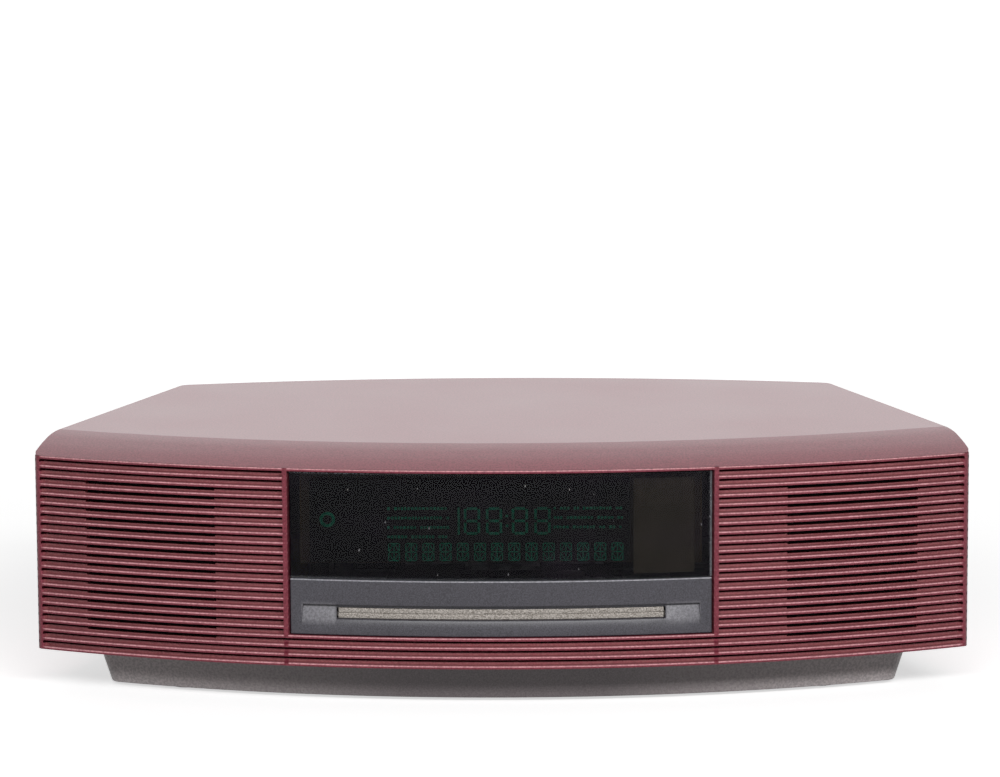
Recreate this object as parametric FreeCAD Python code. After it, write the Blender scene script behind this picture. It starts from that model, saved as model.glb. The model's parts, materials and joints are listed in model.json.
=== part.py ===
import FreeCAD
import Part
import math
import os

from FreeCAD import Placement, Rotation, Vector

# Tabletop CD radio, in millimetres.
# The origin is at the bottom centre, +Z is up, the bowed front faces -Y and +X is to the right.

# Case outline, seen from above
case_width = 369.6          # across the front corners, before they are rounded
front_bulge = 42.5          # how far the front bows out before the line through its corners
side_depth = 153.0          # front corners to rear corners
rear_width = 281.4          # across the rear corners
rear_bulge = 19.5
front_corner_r = 4.0
rear_corner_r = 6.0
wall = 2.5                  # moulded wall

# Heights
foot_height = 1.5           # below the plinth
plinth_height = 16.2
rib_pitch = 3.69
rib_count = 22
rib_tip = 1.1               # height of a rib at its tip
rib_root = 1.9              # height of a rib at its root
top_rise = 6.0              # from the top rib to the flat top
top_edge_r = 1.5            # rounding round the flat top
brow_depth = 24.0           # width of the sloping brow
brow_sag = 0.8              # crown of the brow's curve
seam = 0.1                  # gap between fixed mouldings

# Ribbed front
rib_depth = 2.4
front_depth = 4.8           # rib and web together
groove_end_gap = 2.2        # smooth post beside the corner
opening_half = 82.5         # half width of the centre opening
opening_bar = 1.8           # upright bar beside the opening
opening_ribs = 18           # the opening ends on this rib
sound_inner = 110.0         # each field of sound slots runs between these distances from the middle
sound_outer = 161.0
first_sound_slot = 3
sound_slot_count = 17

# Window and slot bezel
fit_gap = 0.2               # around what drops into an opening
end_gap = 0.5               # at the ends of the window and the bezel
window_inset = 1.2          # behind the rib tips
window_thick = 2.5
window_bottom = 36.8        # above the bottom rib
bezel_inset = 1.5
bezel_thick = 6.4
disc_plane = 22.2           # middle of a loaded disc, above the case's lower edge
slot_half = 63.6
slot_height = 4.3
scoop_half = 77.4
scoop_up = 3.4              # scoop's upper edge above the disc's middle
scoop_down = 5.8            # scoop's lower edge, where its ramp runs out
scoop_depth = 2.2           # at the upper edge
scoop_slant = 0.6
felt_thick = 1.2
felt_reach = 3.0            # past each end of the slot
felt_part = 0.15            # half of the gap between the two strips

# Plinth
plinth_top_inset = 18.5
plinth_bottom_inset = 22.5
plinth_corner_r = 5.0
plinth_wall = 2.5
foot_r = 8.0
foot_seat = 1.2             # how deep a foot sits in the plinth
foot_front_x = 126.0
foot_front_y = -50.0
foot_rear_x = 100.0
foot_rear_y = 62.0

# Bottom pan
pan_thick = 2.0
pan_rim = 4.0
pan_corner_r = 1.5
boss_r = 4.0
boss_bore_r = 1.3
screw_r = 1.2
screw_head_r = 3.0
screw_head = 1.6
screw_length = 14.0
boss_places = ((152.0, -5.0), (129.0, 76.0))

# Loudspeakers
speaker_angle = 19.2        # round the front's centre
speaker_height = 39.3       # above the case's lower edge
speaker_side = 66.0         # square flange
flange_front = 3.0          # behind the grille's inner face
flange_thick = 2.0
basket_depth = 16.5
basket_wall = 2.0
surround_inner = 26.9
surround_outer = 30.9
cone_r = 26.5
cone_front = 4.2
cone_depth = 10.0
paper = 0.6
coil_r = 11.2
coil_length = 13.0
gap_inner_r = 9.9
gap_outer_r = 13.0
magnet_r = 26.5
plate_r = 25.0
plate_thick = 3.0
magnet_thick = 7.5
magnet_gap = 1.0            # from the front plate's hole to the magnet's
soft_gap = 0.35             # between a moving cone and the soft ring round it
gasket_margin = 1.7         # from the surround to the gasket
basket_window = 22.0
basket_rib = 4.0            # left in front of and behind a window
cap_rise = 3.5              # of the dust cap
surround_step = 30          # degrees between points of the half roll
spider_depth = 12.0         # behind the flange
spider_wave = 0.8

# Display
display_left = -74.0
display_right = 50.0
display_half_height = 16.0
display_thick = 6.0
display_front = 11.0        # behind the foremost point of the case
display_middle = 56.3       # above the case's lower edge
display_face = 0.8          # raised face of the display
display_margin = 2.0        # round the face
display_seal = 5.0          # above the face
board_thick = 1.6
board_margin = 1.5          # of the display board above and below the display
display_board_half = 78.0
pin_strip_left = -40.0
pin_strip_right = 30.0
pin_strip_depth = 5.0
pin_strip_height = 6.0
receiver_x = 64.0
receiver_half = 6.0
receiver_lens_r = 3.2

# Disc mechanism
disc_thick = 1.2
spindle_y = -28.0
frame_half = 66.0           # outside of the side walls
sheet = 1.5
frame_front = -92.0
frame_rear = 49.5
frame_foot = 6.3            # above the pan
frame_wall_top = 50.0
frame_window_half = 50.0
frame_window_front = -62.0
frame_window_rear = 46.0
frame_rear_drop = 6.0       # of the rear fold below the side walls
frame_front_fold = 5.0
damper_r = 5.0
damper_x = 57.0
damper_front_y = -76.0
damper_rear_y = 38.0
run = 0.05                  # radial clearance of a running fit
press = 0.02                # radial clearance of a fixed pin
shaft_proud = 0.5           # a shaft's end past what it carries

roller_y = -84.0
roller_end_r = 3.6
roller_waist_r = 3.2
roller_shaft_r = 1.5
sleeve_inner = 6.0
sleeve_outer = 56.0
loader_module = 0.8
roller_teeth = 14
idler_teeth = 24
pinion_teeth = 10
gear_width = 4.0
gear_gap = 1.6              # from the frame to the loader's gears
idler_axle_r = 1.5
idler_angle = 10.0          # slope from the roller down to the idler
pinion_angle = 30.0         # slope from the idler down to the motor's pinion
pinion_bore_r = 1.0
loading_motor_r = 6.0
loading_motor_length = 16.0
guide_rise = 2.6            # above the disc
guide_rear = 14.0           # behind the roller
guide_rib = 1.6
guide_rib_places = (-48.0, -24.0, 24.0, 48.0)
bracket_front = 8.0         # from the motor's middle
bracket_rear = 14.0
bracket_rise = 8.0

deck_half = 46.0
deck_front = -58.0
deck_rear = 41.0
deck_level = 30.0
deck_thick = 1.5
deck_pivot_y = 43.5
pin_r = 1.2
pivot_rise = 1.95           # deck pins above the deck's lower face
deck_slot_half = 9.0        # opening under the pickup
deck_slot_front = -7.0
deck_slot_gap = 6.0         # from the opening to the deck's rear edge
ear_high = 4.0
ear_gap = 0.5               # from an ear to the frame's wall
holder_half = 2.5
holder_thick = 3.0
holder_rise = 2.2           # above the middle of the rods
motor_shaft_r = 1.0
spindle_motor_r = 12.0
spindle_motor_depth = 5.0
spindle_r = 1.0
table_r = 14.0
table_thick = 2.2
hub_r = 7.3
hub_rise = 2.0
hub_taper = 1.6
rod_x = 13.0
rod_r = 1.25
rod_level = 34.5
rod_front = -13.5
sled_rest_y = -3.0
sled_travel = 34.0
sled_half = 17.5
sled_length = 12.0
sled_low = 32.3
sled_high = 36.6
lens_r = 5.5
lens_rise = 0.6
feed_module = 0.6
feed_rack_teeth = 18
drive_module = 0.5
drive_teeth = 36
drive_pinion_teeth = 10
rack_face = 22.0            # pitch line of the rack, from the middle
rack_low = 33.6
rack_high = 35.4
rack_overlap = 3.5          # of the rack past the feed gear, at either end
rack_back = 1.6             # thickness behind the teeth
feed_motor_r = 6.0
feed_motor_depth = 5.0
feed_gear_y = 0.0
feed_axle_r = 0.95
feed_shaft_r = 0.6
wheel_rise = 0.3            # above the deck
wheel_width = 1.2
drive_pinion_width = 1.6

arm_half = 15.0
arm_level = 44.2
arm_thick = 1.5
arm_pivot_y = 44.0
arm_pivot_z = 46.5
arm_pin_r = 1.5
arm_reach = 13.0            # beyond the puck
arm_hub_r = 3.0
arm_hub_half = 23.0
arm_rib_x = 13.0
arm_rib_half = 0.8
arm_rib_rise = 2.2
arm_cut_half = 7.0          # opening that lightens the arm
arm_cut_front = 0.0
arm_cut_rear = 26.0
puck_r = 12.0
puck_neck_r = 5.0
puck_hole_r = 6.0
puck_cap_r = 8.5
puck_cap = 1.2
puck_gap = 0.9              # round the turntable's nose
puck_floor = 2.2            # over the nose
puck_drop = 0.15            # above the disc's face
puck_play = 0.3             # of the cap over the arm

# Sound duct
duct_half = 110.0
duct_front = -18.0
duct_low = 61.0
duct_high = 93.5
duct_wall = 2.0
duct_clear = 0.3            # before the rear panel
duct_bay = 25.5             # from one fold to the next
duct_turn = 24.0            # where the air turns round a fold's end
duct_inlet_inset = 5.0
mouth_inset = 6.0           # from the duct's side
mouth_width = 42.0
mouth_drop = 4.0            # below the duct's lid

# Electronics
main_board_left = -60.0
main_board_right = 96.0
main_board_front = 55.0
main_board_rear = 88.0
board_level = 27.0
post_r = 3.0
post_inset = 6.0
capacitors = (              # from the board's left edge and front edge, radius, height
    (52.0, 9.0, 6.0, 20.0), (66.0, 9.0, 6.0, 20.0), (80.0, 9.0, 6.0, 20.0),
    (94.0, 7.0, 3.5, 11.0), (103.0, 7.0, 3.5, 11.0), (112.0, 7.0, 3.5, 11.0),
)
board_blocks = (            # from the board's left edge and front edge, length, width, height
    (120.0, 5.0, 18.0, 16.0, 2.5), (142.0, 3.0, 10.0, 12.0, 9.0),
)
tuner = (4.0, 2.0, 32.0, 23.0, 12.0)  # screened module, placed as the blocks are
sink_fins = 7
fin_thick = 1.2
fin_height = 26.0
sink_base = 4.0
sink_left = 102.0
sink_right = 124.0
core_left = -122.0
core_right = -74.0
core_height = 32.0
core_thick = 18.0
core_yoke = 6.0
core_leg = 13.0             # middle leg, which the coil goes round
core_window = 10.0
coil_front = 20.0
coil_rear = 60.0
coil_half = 15.8
coil_gap = 0.5
coil_corner_r = 4.0
strap_width = 14.0
strap_thick = 1.2
strap_ear = 7.0

# Rear panel and sockets
panel_half = 118.0
panel_inset = 0.6
panel_thick = 2.5
panel_top = 93.0
vent_count = 14
vent_left = -30.0
vent_pitch = 7.0
vent_width = 3.0
vent_low = 48.0
vent_high = 58.0
socket_proud = 0.3          # out of the rear panel
jack_r = 1.8
jack_length = 14.0
jack_body = 10.0
jack_depth = 18.0
jack_x = 16.0
jack_pitch = 16.0
inlet_x = -95.0
inlet_rise = 9.0            # middle above the board
inlet_width = 22.0
inlet_height = 14.0
inlet_depth = 20.0
recess_depth = 12.0
recess_r = 4.2
recess_half = 4.4           # from the middle to each round end
pin_half = 4.3              # half of the distance between the pins
pin_length = 10.0
inlet_pin_r = 1.15
antenna_x = -36.0
link_x = 62.0
link_r = 4.6
link_length = 7.0
link_body = 14.0
link_depth = 14.0

# Derived places
case_half = case_width / 2
case_depth = front_bulge + side_depth + rear_bulge
front_y = -case_depth / 2
corner_y = front_y + front_bulge
rear_corner_y = corner_y + side_depth
rear_y = case_depth / 2
front_radius = (case_half ** 2 + front_bulge ** 2) / (2 * front_bulge)
rear_radius = ((rear_width / 2) ** 2 + rear_bulge ** 2) / (2 * rear_bulge)
front_centre = front_y + front_radius
rear_centre = rear_y - rear_radius

case_bottom = foot_height + plinth_height
bottom_rib = case_bottom + rib_tip / 2
top_rib = bottom_rib + rib_pitch * (rib_count - 1)
lip = top_rib + rib_tip / 2
case_top = lip + top_rise
web_radius = front_radius - rib_depth
inner_radius = front_radius - front_depth
pan_top = case_bottom + pan_thick
disc_z = case_bottom + disc_plane
opening_low = bottom_rib + rib_pitch * (rib_count - 1 - opening_ribs) + rib_tip / 2
opening_high = top_rib - rib_tip / 2
opening_edge = math.degrees(math.asin(opening_half / front_radius))
insert_edge = opening_edge - math.degrees(end_gap / front_radius)
window_low = bottom_rib + window_bottom
speaker_z = case_bottom + speaker_height
speaker_y = front_centre - inner_radius
display_z = case_bottom + display_middle
display_y = front_y + display_front
frame_level = pan_top + frame_foot
gear_plane = frame_half + gear_gap
disc_low = disc_z - disc_thick / 2
disc_high = disc_z + disc_thick / 2
roller_z = disc_low - roller_end_r
deck_top = deck_level + deck_thick
deck_pivot_z = deck_level + pivot_rise
feed_gear_x = rack_face + feed_module * feed_rack_teeth / 2
feed_motor_x = feed_gear_x + drive_module * (drive_teeth + drive_pinion_teeth) / 2
mouth_left = -duct_half + mouth_inset
mouth_right = mouth_left + mouth_width
panel_inner = rear_radius - panel_inset - panel_thick

WHOLE = 45.0                # degrees to either side, past the front's ends
BEYOND = 1.0                # how far a cutter reaches past what it cuts
UP = Vector(0, 0, 1)
RIGHT = Vector(1, 0, 0)
BACK = Vector(0, 1, 0)


def save(name, *shapes):
    """Write one node, as one solid or as a group of separate solids."""
    solids = [solid for shape in shapes for solid in shape.Solids]
    shape = solids[0] if len(solids) == 1 else Part.makeCompound(solids)
    shape.exportStep("parts/" + name + ".step")


def box(x0, x1, y0, y1, z0, z1):
    """Block between two corners."""
    return Part.makeBox(x1 - x0, y1 - y0, z1 - z0, Vector(x0, y0, z0))


def rod(radius, start, length, axis):
    """Cylinder from a start point along an axis."""
    return Part.makeCylinder(radius, length, start, axis)


def polygon(points):
    """Flat face through a closed list of points."""
    return Part.Face(Part.makePolygon(points + points[:1]))


def angle_at(x, radius):
    """Angle round the arc's centre at a distance from the middle."""
    return math.degrees(math.asin(x / radius))


def sector(profile, start, end, centre=front_centre, facing=-1):
    """Turn a profile of (radius, height) points round an upright axis.

    Angles count from the middle towards +X, for the front (facing -1) or the rear (facing 1).
    """
    face = polygon([Vector(0, centre + facing * r, z) for r, z in profile])
    face.rotate(Vector(0, centre, 0), UP, -facing * start)
    return face.revolve(Vector(0, centre, 0), UP, -facing * (end - start))


def band(inner, outer, low, high, start, end, centre=front_centre, facing=-1):
    """Curved wall between two radii, two heights and two angles."""
    profile = [(inner, low), (outer, low), (outer, high), (inner, high)]
    return sector(profile, start, end, centre, facing)


def plan_corners(inset):
    """Right front and right rear corner of the outline, moved in by the inset."""
    start = Vector(case_half, corner_y, 0)
    along = Vector(rear_width / 2 - case_half, side_depth, 0).normalize()
    inward = Vector(-along.y, along.x, 0)
    base = start + inward * inset
    corners = []
    for centre, radius, which in ((front_centre, front_radius, -1), (rear_centre, rear_radius, 1)):
        away = base - Vector(0, centre, 0)
        half = away.dot(along)
        rest = away.dot(away) - (radius - inset) ** 2
        corners.append(base + along * (-half + which * math.sqrt(half ** 2 - rest)))
    return corners


def plan_block(inset, low, high, front_r, rear_r):
    """Upright block over the case's outline, moved in by the inset, with rounded corners."""
    front, rear = plan_corners(inset)
    front_mid = Vector(0, front_y + inset, 0)
    rear_mid = Vector(0, rear_y - inset, 0)
    left_front = Vector(-front.x, front.y, 0)
    left_rear = Vector(-rear.x, rear.y, 0)
    edges = [
        Part.Arc(left_front, front_mid, front).toShape(),
        Part.LineSegment(front, rear).toShape(),
        Part.Arc(rear, rear_mid, left_rear).toShape(),
        Part.LineSegment(left_rear, left_front).toShape(),
    ]
    face = Part.Face(Part.Wire(edges))
    face.translate(Vector(0, 0, low))
    block = face.extrude(Vector(0, 0, high - low))
    for corner, radius in ((front, front_r), (rear, rear_r)):
        upright = [
            edge for edge in block.Edges
            if len(edge.Vertexes) == 2
            and abs(edge.Vertexes[0].X - edge.Vertexes[1].X) < 0.001
            and abs(edge.Vertexes[0].Y - edge.Vertexes[1].Y) < 0.001
            and abs(abs(edge.Vertexes[0].X) - abs(corner.x)) < 0.01
            and abs(edge.Vertexes[0].Y - corner.y) < 0.01
        ]
        block = block.makeFillet(radius, upright)
    return block


def plan_wire(inset, z, corner_r):
    """Closed outline at one height."""
    block = plan_block(inset, z, z + 1.0, corner_r, corner_r)
    lowest = min(block.Faces, key=lambda face: face.CenterOfMass.z)
    return lowest.OuterWire


def gear(module, teeth, width, bore_r, turn):
    """Spur gear on the Z axis with its first tooth at the turn angle from +X."""
    pitch_r = module * teeth / 2
    tip_r = pitch_r + module * 0.9
    root_r = pitch_r - module * 1.15
    half = math.pi / teeth / 2 * 0.86
    points = []
    for tooth in range(teeth):
        middle = math.radians(turn) + 2 * math.pi * tooth / teeth
        flank = ((root_r, -1.55), (pitch_r, -1.0), (tip_r, -0.4), (tip_r, 0.4), (pitch_r, 1.0), (root_r, 1.55))
        for radius, share in flank:
            angle = middle + half * share
            points.append(Vector(radius * math.cos(angle), radius * math.sin(angle), 0))
    blank = polygon(points).extrude(Vector(0, 0, width))
    return blank.cut(rod(bore_r, Vector(0, 0, -1), width + 2, UP))


def on_x_axis(shape, place):
    """Stand a part made on the Z axis on the X axis: its own +X then points to +Y."""
    shape.Placement = Placement(place, Rotation(Vector(1, 1, 1), 120))
    return shape


def brow_ring(drop):
    """What is cut away above the sloping brow, lowered by the drop."""
    inner = Vector(0, front_centre - (front_radius - brow_depth), case_top - drop)
    outer = Vector(0, front_y, lip - drop)
    middle = (inner + outer) * 0.5
    slope = (outer - inner).normalize()
    normal = Vector(0, -slope.z, slope.y) * (-1 if slope.y > 0 else 1)
    middle = middle + Vector(0, -abs(normal.y), abs(normal.z)) * brow_sag
    far = front_y - BEYOND
    high = case_top + BEYOND
    corners = [outer, Vector(0, far, lip - drop), Vector(0, far, high), Vector(0, inner.y, high)]
    edges = [Part.Arc(inner, middle, outer).toShape()]
    path = corners + [inner]
    for first, second in zip(path, path[1:]):
        edges.append(Part.LineSegment(first, second).toShape())
    face = Part.Face(Part.Wire(edges))
    face.rotate(Vector(0, front_centre, 0), UP, -WHOLE)
    return face.revolve(Vector(0, front_centre, 0), UP, 2 * WHOLE)


def top_cover():
    """Shell of the top, the brow, the sides and the rear corners, with four screw bosses."""
    block = plan_block(0, case_bottom, case_top, front_corner_r, rear_corner_r)
    rim = [edge for edge in block.Edges if edge.BoundBox.ZMin > case_top - seam]
    outer = block.makeFillet(top_edge_r, rim).cut(brow_ring(0))
    hollow = plan_block(wall, case_bottom - BEYOND, case_top - wall,
                        front_corner_r - wall, rear_corner_r - wall)
    shell = outer.cut(hollow.cut(brow_ring(wall)))
    front = band(inner_radius - seam, front_radius + BEYOND, case_bottom - BEYOND, lip, -WHOLE, WHOLE)
    panel = rear_panel_blank(fit_gap)
    bosses = []
    for x, y in boss_places:
        for side in (-1, 1):
            post = rod(boss_r, Vector(side * x, y, pan_top), case_top - wall / 2 - pan_top, UP)
            bore = rod(boss_bore_r, Vector(side * x, y, pan_top), screw_length + 2, UP)
            bosses.append(post.cut(bore))
    shell = shell.cut(front).cut(panel)
    for boss in bosses:
        shell = shell.fuse(boss)
    return shell.removeSplitter()


def rib_comb(first_groove, last_groove, start, end):
    """Cutter of the grooves between ribs, counted from the top."""
    half_tip = rib_tip / 2
    half_root = rib_root / 2
    cutters = []
    for groove in range(first_groove, last_groove + 1):
        above = top_rib - (groove - 1) * rib_pitch
        below = above - rib_pitch
        slope = (half_root - half_tip) / rib_depth
        profile = [
            (web_radius, above - half_root),
            (front_radius + BEYOND, above - half_tip + slope * BEYOND),
            (front_radius + BEYOND, below + half_tip - slope * BEYOND),
            (web_radius, below + half_root),
        ]
        cutters.append(sector(profile, start, end))
    return cutters


def front_grille():
    """Bowed ribbed front: ribs, sound slots, centre opening and smooth corner posts."""
    block = plan_block(0, case_bottom, lip - seam, front_corner_r, rear_corner_r)
    outside = front_radius + BEYOND
    front = block.common(band(inner_radius, outside, case_bottom - BEYOND, lip + BEYOND, -WHOLE, WHOLE))
    groove_end = angle_at(case_half - groove_end_gap, front_radius)
    bar_edge = angle_at(opening_half + opening_bar, front_radius)
    cutters = rib_comb(1, opening_ribs, bar_edge, groove_end)
    cutters += rib_comb(1, opening_ribs, -groove_end, -bar_edge)
    cutters += rib_comb(opening_ribs + 1, rib_count - 1, -groove_end, groove_end)
    slot_start = angle_at(sound_inner, front_radius)
    slot_end = angle_at(sound_outer, front_radius)
    for number in range(sound_slot_count):
        above = top_rib - (first_sound_slot + number - 1) * rib_pitch
        high = above - rib_root / 2
        low = above - rib_pitch + rib_root / 2
        for start, end in ((slot_start, slot_end), (-slot_end, -slot_start)):
            cutters.append(band(inner_radius - BEYOND, web_radius + seam, low, high, start, end))
    cutters.append(band(inner_radius - BEYOND, outside, opening_low, opening_high, -opening_edge, opening_edge))
    return front.cut(cutters)


def display_window():
    """Curved lens over the display."""
    outer = front_radius - window_inset
    return band(outer - window_thick, outer, window_low, opening_high - fit_gap, -insert_edge, insert_edge)


def slot_bezel():
    """Curved faceplate with a ramp that leads into the disc slot."""
    outer = front_radius - bezel_inset
    inner = outer - bezel_thick - BEYOND
    half = insert_edge
    high = window_low - 2 * fit_gap
    plate = band(outer - bezel_thick, outer, opening_low + fit_gap, high, -half, half)
    behind = outer - window_thick
    slot_low = disc_z - slot_height / 2
    slot_high = disc_z + slot_height / 2
    scoop_low = disc_z - scoop_down
    scoop_high = disc_z + scoop_up
    ramp = sector([
        (outer, scoop_low), (outer + BEYOND, scoop_low),
        (outer + BEYOND, scoop_high), (outer - scoop_depth, scoop_high),
    ], -half, half)
    ends = polygon([
        Vector(-scoop_half, front_y, scoop_low), Vector(scoop_half, front_y, scoop_low),
        Vector(scoop_half - scoop_slant, front_y, scoop_high),
        Vector(scoop_slant - scoop_half, front_y, scoop_high),
    ]).extrude(BACK * front_bulge)
    slot = box(-slot_half, slot_half, front_y, corner_y, slot_low, slot_high)
    ledge = band(inner, behind, slot_high + felt_thick, high + BEYOND, -half - 1, half + 1)
    under = band(inner, behind, opening_low - BEYOND, slot_low - felt_thick, -half - 1, half + 1)
    return plate.cut([ramp.common(ends), slot, ledge, under])


def slot_felt(side):
    """Felt strip behind the slot's lip, above (1) or below (-1)."""
    outer = front_radius - bezel_inset - bezel_thick - seam
    half = angle_at(slot_half + felt_reach, outer)
    edge = disc_z + side * felt_part
    far = disc_z + side * (slot_height / 2 + felt_thick)
    return band(outer - felt_thick, outer, min(edge, far), max(edge, far), -half, half)


def plinth():
    """Tapered hollow base that follows the outline."""
    low = foot_height
    outer = Part.makeLoft([
        plan_wire(plinth_bottom_inset, low, plinth_corner_r),
        plan_wire(plinth_top_inset, case_bottom, plinth_corner_r)], True, True)
    inner = Part.makeLoft([
        plan_wire(plinth_bottom_inset + plinth_wall, low + plinth_wall, plinth_corner_r - 1),
        plan_wire(plinth_top_inset + plinth_wall, case_bottom, plinth_corner_r - 1)], True, True)
    base = outer.cut(inner)
    for x, y in foot_places():
        base = base.cut(rod(foot_r + seam, Vector(x, y, low), foot_seat, UP))
    return base


def foot_places():
    """Middle of each foot."""
    spots = ((foot_front_x, foot_front_y), (foot_rear_x, foot_rear_y))
    return [(side * x, y) for side in (-1, 1) for x, y in spots]


def feet():
    """Four rubber pads."""
    return [rod(foot_r, Vector(x, y, 0), foot_height + foot_seat, UP) for x, y in foot_places()]


def bottom_pan():
    """Tray that closes the case from below, with a rim that the rear panel interrupts."""
    gap = wall + fit_gap
    rim_top = pan_top + pan_rim
    trim = band(inner_radius - seam, front_radius, case_bottom - BEYOND, rim_top + BEYOND, -WHOLE, WHOLE)
    floor = plan_block(gap, case_bottom, rim_top, pan_corner_r, rear_corner_r - wall)
    hollow = plan_block(gap + front_depth, pan_top, rim_top + BEYOND, pan_corner_r, pan_corner_r)
    rear = box(-case_half, case_half, rear_corner_y - rear_corner_r, rear_y, pan_top, rim_top + BEYOND)
    holes = []
    for x, y in boss_places:
        for side in (-1, 1):
            below = Vector(side * x, y, case_bottom - BEYOND)
            holes.append(rod(screw_r + fit_gap, below, pan_thick + 2 * BEYOND, UP))
            holes.append(rod(screw_head_r + fit_gap, below, BEYOND + screw_head / 2, UP))
            holes.append(rod(boss_r + fit_gap, Vector(side * x, y, pan_top), pan_rim + BEYOND, UP))
    return floor.cut([hollow, trim, rear] + holes)


def case_screws():
    """Screws from below into the cover's bosses."""
    screws = []
    for x, y in boss_places:
        for side in (-1, 1):
            low = case_bottom + screw_head / 2 - screw_head
            head = rod(screw_head_r, Vector(side * x, y, low), screw_head, UP)
            shank = rod(screw_r, Vector(side * x, y, low), screw_head + screw_length - 2, UP)
            screws.append(head.fuse(shank).removeSplitter())
    return screws


def speaker_turned(shape, side):
    """Swing a loudspeaker part from the middle of the front to its place."""
    turned = shape.copy()
    turned.rotate(Vector(0, front_centre, 0), UP, side * speaker_angle)
    return turned


def speaker_round(profile):
    """Turn a profile of (radius, depth behind the grille) points round the loudspeaker's axis."""
    points = [Vector(r, speaker_y + depth, speaker_z) for r, depth in profile]
    return polygon(points).revolve(Vector(0, speaker_y, speaker_z), BACK, 360)


def speaker_slab(front, back):
    """Square block over the flange between two depths."""
    half = speaker_side / 2
    return box(-half, half, speaker_y + front, speaker_y + back, speaker_z - half, speaker_z + half)


def speaker_gasket():
    """Foam frame between the curved front and the flat flange."""
    slab = speaker_slab(-gasket_margin, flange_front)
    hole = rod(surround_outer + gasket_margin, Vector(0, front_y, speaker_z), front_bulge, BACK)
    front = band(inner_radius - seam, front_radius, case_bottom, lip, -speaker_angle, speaker_angle)
    return slab.cut([hole, front])


def speaker_basket():
    """Square flange and open frame."""
    back = flange_front + flange_thick
    end = back + basket_depth
    mouth = surround_outer + seam
    small = plate_r - seam * 5
    slab = speaker_slab(flange_front, back).cut(rod(mouth, Vector(0, speaker_y, speaker_z), back, BACK))
    frame = speaker_round([
        (mouth, back), (mouth + basket_wall, back), (small + basket_wall, end), (gap_outer_r, end),
        (gap_outer_r, end - basket_wall), (small, end - basket_wall),
    ])
    core = rod(small - 3 * basket_wall, Vector(0, speaker_y, speaker_z), end, BACK)
    windows = []
    for turn in (0, 90):
        window = box(-speaker_side, speaker_side, speaker_y + back + basket_rib, speaker_y + end - basket_rib,
                     speaker_z - basket_window / 2, speaker_z + basket_window / 2)
        window.rotate(Vector(0, speaker_y, speaker_z), BACK, turn)
        windows.append(window.cut(core))
    return slab.fuse(frame.cut(windows)).removeSplitter()


def speaker_magnet():
    """Front plate, ring magnet and yoke with its pole."""
    start = flange_front + flange_thick + basket_depth
    ring = start + plate_thick
    back = ring + magnet_thick
    plate = speaker_round([(gap_outer_r, start), (plate_r, start), (plate_r, ring), (gap_outer_r, ring)])
    inner = gap_outer_r + magnet_gap
    magnet = speaker_round([(inner, ring), (magnet_r, ring), (magnet_r, back), (inner, back)])
    yoke = speaker_round([
        (0, start), (gap_inner_r, start), (gap_inner_r, back), (plate_r, back),
        (plate_r, back + plate_thick), (0, back + plate_thick)])
    return [plate, magnet, yoke]


def speaker_cone():
    """Paper cone with its dust cap and voice coil tube."""
    end = cone_front + cone_depth
    cone = speaker_round([
        (cone_r, cone_front), (cone_r, cone_front + paper), (cone_r - 3 * paper, cone_front + paper),
        (coil_r, end + paper), (coil_r, end + coil_length), (coil_r - paper, end + coil_length),
        (coil_r - paper, end), (cone_r - 4 * paper, cone_front)])
    dome = end - cap_rise
    shoulder = dome + cap_rise / 3
    cap = speaker_round([
        (0, dome), (coil_r * 0.6, shoulder), (coil_r - paper / 3, end), (coil_r - paper, end + paper),
        (coil_r * 0.6, shoulder + paper), (0, dome + paper)])
    return cone.fuse(cap).removeSplitter()


def half_roll(middle, radius, depth, turns):
    """Points of a half circle that bulges forwards."""
    return [(middle + radius * math.cos(math.radians(turn)), depth - radius * math.sin(math.radians(turn)))
            for turn in turns]


def speaker_surround():
    """Half roll of rubber round the cone, with its foot on the flange."""
    middle = (surround_inner + surround_outer) / 2
    roll = (surround_outer - surround_inner) / 2
    low = flange_front + 1.5 * paper
    outside = half_roll(middle, roll, low, range(0, 181 - surround_step, surround_step))
    outside.append((cone_r + soft_gap, low))
    inside = half_roll(middle, roll - paper, low, range(180, -1, -surround_step))
    foot_inner = surround_outer - paper / 3
    foot_outer = surround_outer + gasket_margin - soft_gap
    foot = speaker_round([
        (foot_inner, flange_front - paper), (foot_outer, flange_front - paper),
        (foot_outer, flange_front), (foot_inner, flange_front)])
    return speaker_round(outside + inside).fuse(foot).removeSplitter()


def speaker_spider():
    """Flat springy ring that centres the voice coil."""
    depth = flange_front + flange_thick + spider_depth
    inner = coil_r + soft_gap
    outer = plate_r + seam * 2
    step = (outer - inner) / 4
    waves = (0, spider_wave, -spider_wave, spider_wave, 0)
    front = [(inner + number * step, depth + wave) for number, wave in enumerate(waves)]
    back = [(radius, place + paper) for radius, place in reversed(front)]
    return speaker_round(front + back)


def display_tube():
    """Flat glass display with its raised face."""
    low = display_z - display_half_height
    high = display_z + display_half_height
    glass = box(display_left, display_right, display_y, display_y + display_thick, low, high)
    face = box(display_left + display_margin, display_right - display_margin,
               display_y - display_face, display_y, low + display_margin, high - display_seal)
    return glass.fuse(face)


def display_board():
    """Circuit board behind the display, with its pin strip."""
    front = display_y + display_thick
    back = front + board_thick
    low = display_z - display_half_height - board_margin
    high = display_z + display_half_height + board_margin
    board = box(-display_board_half, display_board_half, front, back, low, high)
    strip_low = low + 2 * board_margin
    strip = box(pin_strip_left, pin_strip_right, back, back + pin_strip_depth,
                strip_low, strip_low + pin_strip_height)
    return board.fuse(strip)


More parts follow.
